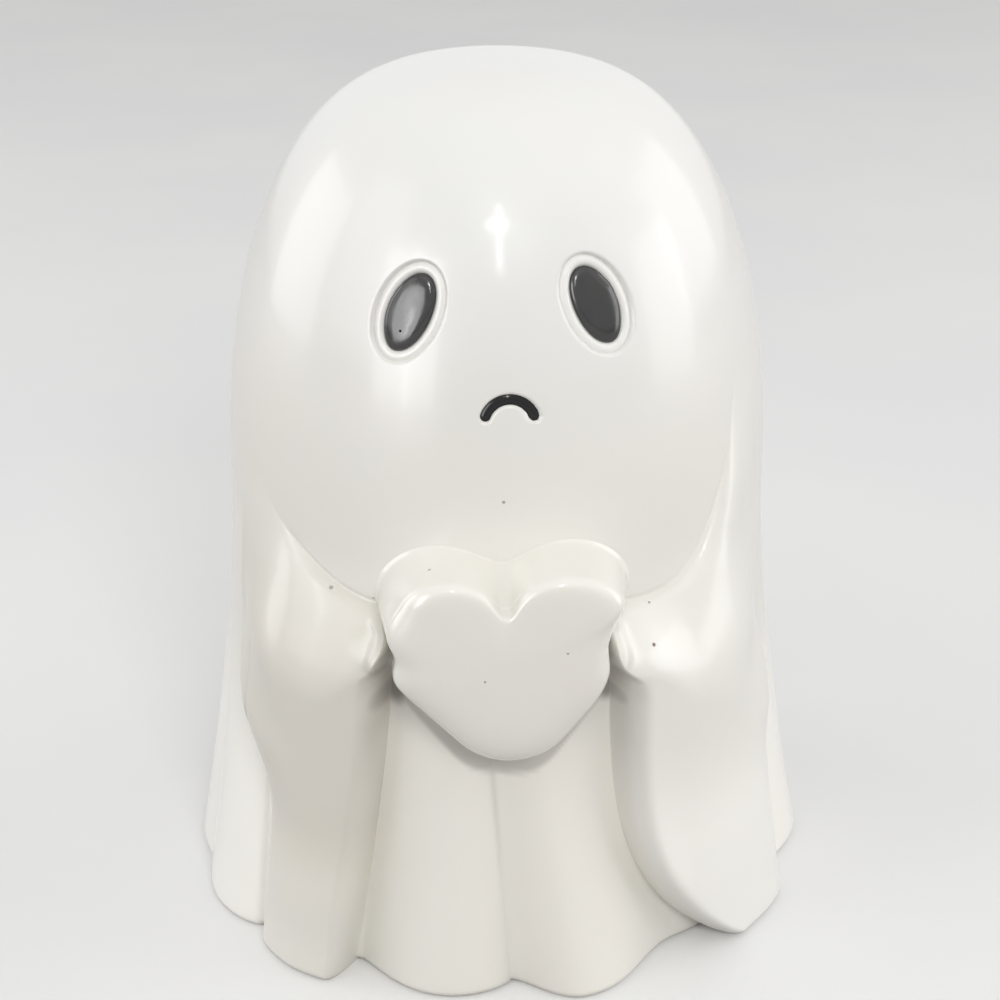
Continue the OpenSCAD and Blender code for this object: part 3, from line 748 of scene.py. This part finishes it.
def rise_from_outer(t, z, side):
    distance = (outer_edge(z, side) - t) * arc_length(z)
    fade = rising(z, STEP_END)
    above, at_hem = SLEEVES[side]["lip"]
    lip = mix(above, at_hem, clamp(1 - z / FLARE_HEIGHT)) * (1 - fade)
    rounded = mix(quarter(distance / DRAPE_ROUND), smooth(distance / ARM_ROUND), fade)
    return mix(rounded, quarter(distance / EDGE_ROUND), lip)


def rise_from_crease(t, z, side):
    row = SLEEVES[side]
    distance = crease_distance(t, z, side)
    soft = rising(t, row["soft"])
    arm = np.sin(math.pi / 2 * clamp(distance / mix(*ARM_REACH, rising(t, ARM_ANGLES))))
    body = mix(arm, smooth(distance / FLAT_REACH), row["flat"] * soft)
    step = mix(CREASE_STEP, row["soft_step"], soft)
    return mix(body, quarter(distance / (STEP_WIDTH + STEP_SPREAD * soft)), step)


def sleeve_rise(t, z, side):
    """How far the sleeve stands out from the cloak: 0 at its edges."""
    shoulder = SHOULDER_THINNING * rising(t, SHOULDER_ANGLES) * rising(z, SHOULDER_BAND)
    full = (SLEEVE_THICKNESS * (1 - SIDE_THINNING * rising(t, SIDE_ANGLES))
            * (1 - HEM_THINNING * smooth(1 - z / HEM_REACH)) * (1 - shoulder)
            * (1 - rising(z, SLEEVES[side]["merge"])))
    gap = np.maximum(0, (t - angle_at(heart_flank(z, side), z)) * arc_length(z))
    rim = sum(height * bell(gap / reach) for height, reach in HAND_RIMS)
    rim = rim * falling(z, HAND_RIM_TOP) * rising(z, HAND_RIM_FOOT)
    stands = full * rise_from_crease(t, z, side) + rim
    return stands * rise_from_inner(t, z, side) * rise_from_outer(t, z, side)


def sleeve_out(t, z, side):
    """The same, but beyond the edges it dips under the cloak."""
    arc = arc_length(z)
    past = np.maximum.reduce([
        np.maximum(0, inner_edge(z, side) - t) * arc,
        np.maximum(0, t - outer_edge(z, side)) * arc,
        np.maximum(0, -crease_distance(t, z, side)),
        z - SHOULDER_TOP,
    ])
    return SLEEVE_LIP + sleeve_rise(t, z, side) - np.minimum(DIP_SLOPE * past, DIP_DEPTH)


def side_shade(depth, z, row):
    strength, foot, top, deep = row
    return strength * rising(z, foot) * falling(z, top) * falling(depth, deep)


def sleeve_shade(depth, z, side):
    """Shade on a sleeve at a depth in millimetres from its inner edge."""
    shade = side_shade(depth, z, HAND_SHADE)
    _, height, radius = SHADED_CREVICES[side]
    inwards, upwards = CORNER_STRETCH
    away = np.hypot(inwards * depth, (z - height + CORNER_DROP) / upwards)
    band = [share * radius for share in CORNER_BAND]
    shade = np.maximum(shade, CORNER_SHADE * (1 - rising(away, band)))
    return np.maximum(shade, side_shade(depth, z, WALL_SHADE)) if side > 0 else shade


def make_sleeve(side):
    u = SLEEVE_COLUMNS
    angle_top = HAND_ANGLE + (SHOULDER_ANGLE - HAND_ANGLE) * np.maximum(u, 0)
    top = np.minimum(crease_line(angle_top, side)[0], SHOULDER_TOP)
    hem = np.broadcast_to(hem_heights(SLEEVE_HEM_ROWS)[:-1, None], (SLEEVE_HEM_ROWS - 1, len(u)))
    zz = join([hem, SLEEVE_ROWS[:, None] * (top - HEM_ROUND)[None, :] + HEM_ROUND])
    ti, to = inner_edge(zz, side), outer_edge(zz, side)
    t = ti + (to - ti) * u[None, :]
    out = sleeve_out(t, zz, side)
    hem_cut = np.minimum(hem_inset(zz), np.maximum(0, out + HEM_REST))
    at = side * t
    base = groove_depth(at, zz)
    outer = cloak_point(at, zz, out - hem_cut - base * (out < 0))
    inner = cloak_point(at, zz, -SLEEVE_BACK - base)
    # shading normals of the surface without its dip, so that it runs into the cloak
    plain = cloak_point(at, zz, sleeve_rise(t, zz, side) - hem_cut)
    normal = np.cross(np.gradient(plain, axis=1), np.gradient(plain, axis=0)) * side
    normal = normal / np.maximum(np.linalg.norm(normal, axis=-1, keepdims=True), TINY)
    tone, warm = sleeve_looks(at, zz, side)
    pool = fold_depth(at, zz) * SLEEVE_POOL
    shade = sleeve_shade((t - ti) * arc_length(zz), zz, side)
    looks = {
        "pool": join([pool.ravel(), np.zeros(pool.size)]),
        "tone": np.tile(tone.ravel(), 2),
        "warm": np.tile(warm.ravel(), 2),
        "shade": np.tile(shade.ravel(), 2),
    }
    points = join([outer.reshape(-1, 3), inner.reshape(-1, 3)])
    quads = sheet_quads(*zz.shape)
    piece = new_piece(f"{SIDES[side]}_sleeve_glaze", points, quads, attributes=looks)
    normals = join([normal.reshape(-1, 3), -normal.reshape(-1, 3)])
    piece.data.normals_split_custom_set_from_vertices(normals)
    return piece


# The heart: points of its outline and arcs, and the band in which its edge turns crisp
OUTLINE_POINTS = 240
LOBE_POINTS = 400
TIP_POINTS = 200
CRISP = (50, 13)
# How the front edge rounds over, low down and at the lobes: power and depth
EDGE_POWERS = (8.0, 20.0)
EDGE_SPANS = (4.0, 2.1)
EDGE_FULL = 0.5
EDGE_SHARPNESS = 2.1
# The notch: reach, how far it stands up at the chest, and how far it sinks forwards
NOTCH_REACH = 1.9
NOTCH_RISE = 0.9
NOTCH_SINK = 2.5
NOTCH_POWER = 4
PINCH_POWER = 3
# Rings: hidden ones, the fillet at the chest (distance out, flare), the wall, the front
HIDDEN_SHARES = (0.3, 0.6, 0.85, 0.97)
SUNK = 0.4
FILLET = ((-0.4, 0.36), (0.0, 0.32), (0.12, 0.2), (0.28, 0.1), (0.5, 0.03), (0.9, 0.0))
FILLET_SOFTNESS = 1.4
FILLET_END = 0.9
WALL_RINGS = np.linspace(0.12, 1, 14)
WALL_FRONT = 0.75
FRONT_RINGS = np.linspace(0.01, 1, 60)
FRONT_END = 0.05
# Shade on the flanks behind the hands
BEHIND = (4.5, 3.5)
BEHIND_TOP = (57, 4)
BEHIND_SHADE = 0.45


def heart_outline():
    notch = math.acos(-LOBE_HALF / LOBE_RADIUS)
    a = np.linspace(notch, FLANK, LOBE_POINTS)
    lobe = np.stack([LOBE_HALF + LOBE_RADIUS * np.cos(a),
                     LOBE_HEIGHT + LOBE_RADIUS * np.sin(a)], -1)
    side = LOBE_HALF - NOTCH_ROUND
    edge_z = LOBE_HEIGHT + math.sqrt(LOBE_RADIUS**2 - side**2)
    slope = side / (edge_z - LOBE_HEIGHT)
    inside = lobe[:, 0] < NOTCH_ROUND
    sag = 1 - (lobe[inside, 0] / NOTCH_ROUND) ** 2
    lobe[inside, 1] = edge_z - slope * NOTCH_ROUND / 2 * sag
    a = np.linspace(FLANK, -math.pi / 2, TIP_POINTS)
    tip = np.stack([TIP_RADIUS * np.cos(a), TIP_HEIGHT + TIP_RADIUS * np.sin(a)], -1)
    path = join([lobe, tip])
    step = join([[0], np.cumsum(np.hypot(*np.diff(path, axis=0).T))])
    s = np.linspace(0, step[-1], OUTLINE_POINTS // 2 + 1)
    half = np.stack([np.interp(s, step, path[:, 0]), np.interp(s, step, path[:, 1])], -1)
    return join([half, half[-2:0:-1] * [-1, 1]])


def front_depth(x, z):
    a = half_width(z)
    return -a * DEPTH_SHARE * np.sqrt(np.maximum(0, 1 - (x / a) ** 2))


def make_heart():
    across, up = heart_outline().T
    lean = math.radians(HEART_LEAN)
    chest = float(front_depth(0, HEART_MIDDLE))
    front = chest - HEART_THICKNESS
    reach = np.maximum(heart_half_width(up), 1.0)
    flank = np.clip(np.abs(across) / reach, 0, 1) ** PINCH_POWER
    crisp = rising(up, CRISP)
    edge_power = mix(*EDGE_POWERS, crisp)
    edge_span = mix(*EDGE_SPANS, crisp)
    in_notch = bell(across / NOTCH_REACH) * (up > LOBE_HEIGHT)

    def ring(share, depth):
        """The outline shrunk to a share, at a depth from 0 at the chest to 1 in front."""
        pinch = np.where(across < 0, heart_pinch(up, -1, depth), heart_pinch(up, 1, depth))
        x = share * (across - np.sign(across) * pinch * flank)
        z = up + (NOTCH_RISE - NOTCH_SINK * depth) * in_notch * share**NOTCH_POWER
        r = (z - HEART_MIDDLE) * share
        return (x * math.cos(lean) - r * math.sin(lean),
                HEART_MIDDLE + r * math.cos(lean) + x * math.sin(lean))

    rings = []
    fillet = [(out, 1 + flare / LOBE_RADIUS / FILLET_SOFTNESS) for out, flare in FILLET]
    for out, share in [(-SUNK, share) for share in HIDDEN_SHARES] + fillet:
        x, z = ring(share, 0.0)
        rings.append(np.stack([x, front_depth(x, z) - out, z], -1))
    for w in WALL_RINGS:
        x, z = ring(1.0, w * WALL_FRONT)
        y = mix(front_depth(x, z) - FILLET_END, front + edge_span, w)
        rings.append(np.stack([x, y, z], -1))
    for q in FRONT_RINGS:
        share = math.cos(math.pi / 2 * q) ** 0.5 if q < 1 else 0.0
        if share < FRONT_END:
            break
        rounded = 1 - (1 - share**edge_power) ** (1 / EDGE_SHARPNESS)
        back = (edge_span - EDGE_FULL) * rounded + EDGE_FULL * share**2
        x, z = ring(share, 1 - back / HEART_THICKNESS)
        rings.append(np.stack([x, front + back, z], -1))
    rings = np.array(rings)
    first, last = [0, chest + SUNK, HEART_MIDDLE], [0, front, HEART_MIDDLE]
    points = join([rings.reshape(-1, 3), [first, last]])
    behind = rising(points[:, 1] - front, BEHIND) * falling(points[:, 2], BEHIND_TOP)
    looks = even_looks(1.0, CROWN_WARMTH, BEHIND_SHADE * behind)
    return capped_piece("heart_glaze", rings, first, last, looks)


# Eyes and mouth: points round an oval, and depths of what is hidden
OVAL_POINTS = 96
BURIED = 1.7
WALL_DEEP = 0.95
RIM_GAP = 0.06
# A rim's section
RIM_POINTS = 15
RIM_START = 0.08
RIM_LOST = 0.1
RIM_DEEP = 0.78
RIM_HEIGHT = 0.42
RIM_SKEW = 0.1
RIM_REACH = 1.02
RIM_FULL = 0.7
RIM_BACK = RIM_BAND + 0.05
RIM_BACK_DEEP = 1.15
RIM_TONE = 1.06
RIM_WARMTH = 0.2
# An eye: its dome, and the uneven edge of a brushed glaze
EYE_DEEP = 0.62
EYE_DOME = 0.6
EYE_FLATNESS = 5
EYE_TOP = 0.02
EYE_RINGS = np.linspace(0, 86, 24)
WOBBLES = ((0.012, 3, 1), (0.008, 5, 2))
NICK = 0.035
NICK_ANGLE = 0.25
NICK_REACH = 0.13
# The mouth's bead
MOUTH_ROWS = 60
MOUTH_POINTS = 24
MOUTH_OVERLAP = 0.02
MOUTH_BEAD = 0.42
MOUTH_DEEP = 0.62
MOUTH_ENDS = (15, 30, 45, 60, 75, 88)


def oval_ring(place, a, b, phi, deep):
    c, ax, az, n = place
    q = c + (a * np.cos(phi))[:, None] * ax + (b * np.sin(phi))[:, None] * az
    return to_skin(q, n) - deep * n


def make_rim(side):
    """The raised white band round an eye."""
    phi = turn(OVAL_POINTS)
    section = [(0.0, BURIED), (0.0, WALL_DEEP)]
    for s in np.linspace(0, 1, RIM_POINTS):
        height = RIM_HEIGHT * math.sin(math.pi * min(1.0, s * RIM_REACH)) ** RIM_FULL
        section.append((RIM_START + s * (RIM_BAND - RIM_LOST), RIM_DEEP - height + RIM_SKEW * s))
    section += [(RIM_BACK, RIM_BACK_DEEP), (RIM_BACK, BURIED)]
    place = eye_frame(side)
    rings = np.array([
        oval_ring(place, RIM_A - RIM_GAP - inset, RIM_B - RIM_GAP - inset, phi, deep)
        for inset, deep in section
    ])
    rows, cols = rings.shape[:2]
    # the first ring again after the last closes the band
    quads = ring_quads(rows + 1, cols) % (rows * cols)
    looks = even_looks(RIM_TONE, RIM_WARMTH, np.zeros(rows * cols))
    return new_piece(f"{SIDES[side]}_eye_rim_glaze", rings.reshape(-1, 3), quads, attributes=looks)


def make_eye(side):
    """The domed black oval, with the slightly uneven edge of a brushed glaze."""
    place = eye_frame(side)
    c, _, _, n = place
    phi = turn(OVAL_POINTS)
    wobble = 1 + sum(size * np.sin(waves * phi + late * side) for size, waves, late in WOBBLES)
    if side > 0:
        wobble = wobble + NICK * bell((phi - NICK_ANGLE) / NICK_REACH)
    section = [(1.0, BURIED), (1.0, WALL_DEEP)]
    for angle in EYE_RINGS:
        share = math.cos(math.radians(angle))
        section.append((share, EYE_DEEP - EYE_DOME * (1 - share**EYE_FLATNESS) ** 0.5))
    rings = np.array([
        oval_ring(place, EYE_WIDTH / 2 * wobble * share, EYE_LENGTH / 2 * wobble * share, phi, deep)
        for share, deep in section
    ])
    return capped_piece(f"{SIDES[side]}_eye_enamel", rings, c - BURIED * n, c - EYE_TOP * n)


def make_mouth():
    """A rounded bead of enamel that lies in the mouth's groove."""
    c, ax, az, n = skin_frame(MOUTH_PLACE, MOUTH_HEIGHT)
    half = math.radians(MOUTH_SWEEP / 2)
    r = MOUTH_WIDTH / 2 + MOUTH_OVERLAP

    def on_arc(angle):
        return MOUTH_RADIUS * math.sin(angle), MOUTH_RADIUS * math.cos(angle)

    centre = [(*on_arc(a), a, 1.0) for a in np.linspace(-half, half, MOUTH_ROWS)]
    end_x, end_z = on_arc(half)
    for k in np.radians(MOUTH_ENDS):
        shift, size = r * math.sin(k), math.cos(k)
        x = end_x + shift * math.cos(half)
        z = end_z - shift * math.sin(half)
        centre.append((x, z, half, size))
        centre.insert(0, (-x, z, -half, size))
    phi = turn(MOUTH_POINTS)
    rings = []
    for x, z, a, size in centre:
        w = r * size * np.cos(phi)
        h = MOUTH_BEAD * size * np.sin(phi)
        q = c + (x + w * math.sin(a))[:, None] * ax + (z + w * math.cos(a))[:, None] * az
        rings.append(to_skin(q, n) + (h - MOUTH_DEEP)[:, None] * n)
    rings = np.array(rings)
    return capped_piece("mouth_enamel", rings, rings[0].mean(0), rings[-1].mean(0))


# Materials
class Nodes:
    """Short names for adding shader nodes to one material or world."""

    def __init__(self, owner):
        owner.use_nodes = True
        self.owner = owner
        self.tree = owner.node_tree
        self.tree.nodes.clear()

    def add(self, kind, inputs, **settings):
        """Adds a node and returns its outputs. An input is a value, an output or None."""
        node = self.tree.nodes.new("ShaderNode" + kind)
        for key, value in settings.items():
            setattr(node, key, value)
        for key, value in inputs.items():
            socket = node.inputs[key]
            if isinstance(value, tuple):
                socket.default_value = (*value, 1.0)[:len(socket.default_value)]
            elif isinstance(value, (int, float)):
                socket.default_value = value
            elif value is not None:
                self.tree.links.new(value, socket)
        return node.outputs

    def place(self, kind="Object"):
        return self.add("TexCoord", {})[kind]

    def noise(self, scale, detail=3.0, rough=0.5):
        sizes = {"Scale": scale, "Detail": detail, "Roughness": rough, "Vector": self.place()}
        return self.add("TexNoise", sizes)["Fac"]

    def ramp(self, value, low, high, out_low=0.0, out_high=1.0):
        sizes = {"Value": value, "From Min": low, "From Max": high,
                 "To Min": out_low, "To Max": out_high}
        return self.add("MapRange", sizes, interpolation_type="SMOOTHSTEP")["Result"]

    def math(self, kind, a, b):
        return self.add("Math", {0: a, 1: b}, operation=kind)[0]

    def mix(self, factor, a, b):
        return self.add("Mix", {0: factor, 6: a, 7: b}, data_type="RGBA")[2]

    def vector(self, kind, inputs, output="Vector"):
        return self.add("VectorMath", inputs, operation=kind)[output]

    def attribute(self, name):
        return self.add("Attribute", {}, attribute_name=name)["Fac"]

    def dot_at(self, point, radius):
        """1 inside a small ball round a point, both given in millimetres."""
        centre = tuple(v * MM for v in point)
        away = self.vector("DISTANCE", {0: self.place(), 1: centre}, "Value")
        core, edge = (share * radius * MM for share in DOT_SHARES)
        return self.ramp(away, core, edge, 1.0, 0.0)

    def bump(self, height, distance, strength, normal=None):
        sizes = {"Distance": distance, "Strength": strength, "Height": height, "Normal": normal}
        return self.add("Bump", sizes)["Normal"]

    def specks(self, scale, share, radius):
        """Sparse round specks: share of the cells that have one, radius in cells."""
        cell = self.add("TexVoronoi", {"Scale": scale, "Vector": self.place()}, feature="F1")
        near = self.ramp(cell["Distance"], radius * SPECK_CORE, radius, 1.0, 0.0)
        split = self.add("SeparateColor", {0: cell["Color"]})
        chosen = self.math("GREATER_THAN", split[0], 1 - share)
        return self.math("MULTIPLY", near, chosen)

    def seen(self):
        """1 for rays that show a background: camera, glossy and transmission rays."""
        rays = self.add("LightPath", {})
        shown = rays["Is Camera Ray"]
        for name in ("Is Glossy Ray", "Is Transmission Ray"):
            shown = self.math("MAXIMUM", shown, rays[name])
        return shown

    def surface(self, inputs):
        """Ends the material with its surface and returns it."""
        surface = self.add("BsdfPrincipled", inputs)
        self.add("OutputMaterial", {0: surface[0]})
        return self.owner


DOT_SHARES = (0.7, 1.15)
SPECK_CORE = 0.55
# Tint of the painted warm light, no tint, and the colour of the painted shade
PAINTED_WARM_LIGHT = (1.0, 0.955, 0.875)
NEUTRAL = (1.0, 1.0, 1.0)
SHADE = (0.30, 0.285, 0.26)
BROWN = (0.20, 0.13, 0.09)
GREY = (0.42, 0.40, 0.37)
FAINT_SPECK = (0.36, 0.31, 0.26)
DUST = (0.20, 0.19, 0.18)
GRIT = (0.45, 0.40, 0.34)
# Pinholes in the photograph: place and radius in millimetres, colour
BODY_PITS = [
    ((-0.3, -34.7, 71.4), 0.20, GREY),
    ((-22.5, -29.2, 57.2), 0.26, GREY),
    ((-17.0, -31.3, 56.6), 0.16, GREY),
    ((18.7, -31.7, 55.6), 0.18, GREY),
    ((19.0, -35.9, 51.6), 0.26, BROWN),
]
HEART_PITS = [
    ((-9.7, -39.8, 64.7), 0.22, GREY),
    ((-3.0, -45.9, 52.1), 0.14, GREY),
    ((7.2, -45.7, 55.8), 0.14, GREY),
]
EYE_PIT = ((-12.8, -29.3, 92.2), 0.19)
# Shares of the layers
FINE_SHARE = 0.22
POOLED_SHARE = 0.55
SPECK_SHARE = 0.55
DUST_SHARE = 0.35
GRIT_SHARE = 0.5
GLAZE_IOR = 1.5
SPECULAR = 0.5


def glaze(name, light, warm, cool, pits, coat, coat_rough):
    """White glaze: blotches of tone, faint specks, painted light, warm light and shade from the
    point attributes, and the pinholes of a list.
    """
    m = Nodes(bpy.data.materials.new(name))
    broad = m.ramp(m.noise(scale=22, detail=2.0), 0.36, 0.66)
    fine = m.ramp(m.noise(scale=140, detail=4.0, rough=0.6), 0.3, 0.72)
    colour = m.mix(broad, light, warm)
    colour = m.mix(m.math("MULTIPLY", fine, FINE_SHARE), colour, cool)
    pooled = m.ramp(m.attribute("pool"), 0.12, 0.7)
    colour = m.mix(m.math("MULTIPLY", pooled, POOLED_SHARE), colour, cool)
    # The point attributes paint light into the colour: a painted warm cast of light, painted light
    # and shade by region, and painted shade
    tint = m.mix(m.attribute("warm"), NEUTRAL, PAINTED_WARM_LIGHT)
    colour = m.vector("MULTIPLY", {0: colour, 1: tint})
    colour = m.vector("SCALE", {0: colour, "Scale": m.attribute("tone")})
    colour = m.mix(m.attribute("shade"), colour, SHADE)
    dents = m.specks(scale=150, share=0.05, radius=0.045)
    colour = m.mix(m.math("MULTIPLY", dents, SPECK_SHARE), colour, FAINT_SPECK)
    for point, radius, dark in pits:
        spot = m.dot_at(point, radius)
        colour = m.mix(spot, colour, dark)
        dents = m.math("MAXIMUM", dents, spot)
    wave = m.bump(m.noise(scale=75, detail=2.0), distance=0.0004, strength=0.35)
    peel = m.bump(m.noise(scale=700, detail=2.0), distance=0.00003, strength=0.35, normal=wave)
    level = m.math("SUBTRACT", 1.0, dents)
    return m.surface({
        "Base Color": colour,
        "Roughness": m.ramp(m.noise(scale=60), 0.3, 0.7, out_low=0.29, out_high=0.36),
        "IOR": GLAZE_IOR,
        "Coat Weight": coat,
        "Coat Roughness": coat_rough,
        "Normal": m.bump(level, distance=0.00025, strength=0.8, normal=peel),
    })


def enamel(name, deep, lit, rough, ior, pit=None):
    """Black enamel with fine dust; a pit is a spot that has lost its gloss."""
    m = Nodes(bpy.data.materials.new(name))
    colour = m.mix(m.ramp(m.noise(scale=260), 0.35, 0.7), deep, lit)
    dust = m.specks(scale=420, share=0.08, radius=0.06)
    gloss = SPECULAR
    if pit is not None:
        gloss = m.math("MULTIPLY", m.math("SUBTRACT", 1.0, m.dot_at(*pit)), SPECULAR)
    return m.surface({
        "Base Color": m.mix(m.math("MULTIPLY", dust, DUST_SHARE), colour, DUST),
        "Roughness": m.ramp(m.noise(scale=320, detail=2.0), 0.3, 0.75, *rough),
        "IOR": ior,
        "Specular IOR Level": gloss,
        "Normal": m.bump(m.noise(scale=380, detail=2.0), distance=0.0001, strength=0.35),
    })


def clay(name, deep, lit):
    """Bare fired clay with grit in it."""
    m = Nodes(bpy.data.materials.new(name))
    colour = m.mix(m.ramp(m.noise(scale=60, detail=4.0), 0.35, 0.7), deep, lit)
    grit = m.specks(scale=900, share=0.25, radius=0.25)
    return m.surface({
        "Base Color": m.mix(m.math("MULTIPLY", grit, GRIT_SHARE), colour, GRIT),
        "Roughness": m.ramp(m.noise(scale=300), 0.3, 0.7, 0.75, 0.92),
        "Normal": m.bump(m.noise(scale=1200, detail=4.0), distance=0.0001, strength=0.6),
    })


body_glaze = glaze("white_glaze_look", light=(0.81, 0.81, 0.795), warm=(0.81, 0.80, 0.775),
                   cool=(0.77, 0.795, 0.78), pits=BODY_PITS, coat=0.5, coat_rough=0.12)
heart_glaze = glaze("cream_glaze_look", light=(0.83, 0.81, 0.755), warm=(0.83, 0.80, 0.745),
                    cool=(0.82, 0.81, 0.765), pits=HEART_PITS, coat=0.9, coat_rough=0.07)
eye_black = enamel("eye_enamel_look", deep=(0.004, 0.004, 0.004), lit=(0.012, 0.011, 0.010),
                   rough=(0.12, 0.24), ior=1.7, pit=EYE_PIT)
mouth_black = enamel("mouth_enamel_look", deep=(0.003, 0.003, 0.003), lit=(0.008, 0.007, 0.007),
                     rough=(0.08, 0.14), ior=1.42)
bare = clay("bare_clay_look", deep=(0.66, 0.62, 0.55), lit=(0.72, 0.69, 0.63))

# The pieces, each with the node that it replaces, its look and slot
made = [
    (make_cloak(), "cloak_body", body_glaze, "white_glaze"),
    (make_sleeve(-1), "right_sleeve", body_glaze, "white_glaze"),
    (make_sleeve(1), "left_sleeve", body_glaze, "white_glaze"),
    (make_heart(), "heart", heart_glaze, "cream_glaze"),
    (make_rim(-1), "right_eye_rim", body_glaze, "white_glaze"),
    (make_rim(1), "left_eye_rim", body_glaze, "white_glaze"),
    (make_eye(-1), "right_eye", eye_black, "black_enamel"),
    (make_eye(1), "left_eye", eye_black, "black_enamel"),
    (make_mouth(), "mouth", mouth_black, "black_enamel"),
]
for piece, node, material, slot in made:
    piece.data.materials.append(material)
    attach(piece, "root")
    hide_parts(node)

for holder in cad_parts["base_plate"].material_slots:
    holder.material = bare

# Stage, light and camera, in metres
FLOOR_HALF = 3
FLOOR_DARK = (0.80, 0.80, 0.80)
FLOOR_LIGHT = (0.83, 0.83, 0.82)
FLOOR_ROUGH = 0.85
# What the floor throws back as light
FLOOR_BOUNCE = (0.33, 0.32, 0.31)
BACKGROUND = (0.97, 0.97, 0.97)
SKY_LOW = 0.42
SKY_HIGH = 0.85


def make_floor():
    look = Nodes(bpy.data.materials.new("floor_look"))
    shown = look.mix(look.ramp(look.noise(scale=9), 0.3, 0.7), FLOOR_DARK, FLOOR_LIGHT)
    tone = look.mix(look.seen(), FLOOR_BOUNCE, shown)
    h = FLOOR_HALF
    mesh = bpy.data.meshes.new("floor")
    mesh.from_pydata([(-h, -h, 0), (h, -h, 0), (h, h, 0), (-h, h, 0)], [], [(0, 1, 2, 3)])
    mesh.materials.append(look.surface({"Base Color": tone, "Roughness": FLOOR_ROUGH}))
    add_object("floor", mesh)


def make_sky():
    """A pale background, and light that is stronger from above, as the desk is dark."""
    world = bpy.data.worlds.new("studio")
    bpy.context.scene.world = world
    sky = Nodes(world)
    up = sky.add("SeparateXYZ", {0: sky.place("Generated")})["Z"]
    climb = sky.add("MapRange", {"Value": up, "To Min": SKY_LOW, "To Max": SKY_HIGH})
    lit = sky.add("Background", {"Strength": climb["Result"]})
    shown = sky.add("Background", {0: BACKGROUND})
    both = sky.add("MixShader", {0: sky.seen(), 1: lit[0], 2: shown[0]})
    sky.add("OutputWorld", {0: both[0]})


# Lamps: azimuth (0 is the front, positive to +X), elevation, distance, size and watts
LAMPS = {
    "overhead": (10, 72, 1.0, 0.9, 0.9, 0.4),
    "key": (-1, 38.5, 1.0, 0.15, 0.04, 0.42),
    "strip": (0, 35, 1.0, 0.025, 0.36, 0.65),
    "top_front": (0, 55, 1.0, 0.9, 0.4, 0.25),
    "left_softbox": (-62, 25, 0.9, 0.4, 0.7, 0.9),
    "right_softbox": (66, 38, 1.0, 0.5, 0.6, 0.25),
    "right_low": (75, 8, 0.9, 0.4, 0.5, 1.4),
    "side_left": (-100, 15, 1.0, 0.6, 0.6, 2.3),
    "side_right": (100, 20, 1.0, 0.6, 0.6, 1.5),
    "front_key": (14, 33, 1.0, 0.22, 0.22, 2.2),
    "eye_window": (-38, 12, 0.9, 0.42, 0.50, 2.5),
    "eye_slit": (-37, 12, 0.9, 0.03, 0.55, 0.3),
}
LAMP_AIM = Vector((0, 0, 0.06))
# front_key throws the heart's shadow and isn't seen in the gloss. The window and its slit
# cast no diffuse light: they are there for the right eye to mirror
NOT_IN_GLOSS = ("front_key",)
ONLY_IN_GLOSS = ("eye_window", "eye_slit")


def make_lamp(name, azimuth, elevation, distance, width, height, power):
    data = bpy.data.lights.new(name, "AREA")
    data.shape = "RECTANGLE"
    data.size = width
    data.size_y = height
    data.energy = power
    lamp = add_object(name, data)
    a, e = math.radians(azimuth), math.radians(elevation)
    way = Vector((math.sin(a) * math.cos(e), -math.cos(a) * math.cos(e), math.sin(e)))
    lamp.location = LAMP_AIM + distance * way
    lamp.rotation_euler = (LAMP_AIM - lamp.location).to_track_quat("-Z", "Y").to_euler()
    lamp.visible_glossy = name not in NOT_IN_GLOSS
    lamp.visible_diffuse = name not in ONLY_IN_GLOSS


def make_camera():
    """The photograph's camera, solved from its perspective."""
    data = bpy.data.cameras.new("photo_camera")
    data.lens = 70.2
    data.sensor_width = 36.0
    camera = add_object("photo_camera", data)
    camera.location = (-0.0085056, -0.2564625, 0.1705203)
    camera.rotation_euler = (math.radians(66), 0, math.radians(-2))
    bpy.context.scene.camera = camera


make_floor()
make_sky()
for lamp_name, row in LAMPS.items():
    make_lamp(lamp_name, *row)
make_camera()
bpy.context.scene.view_settings.view_transform = "Standard"
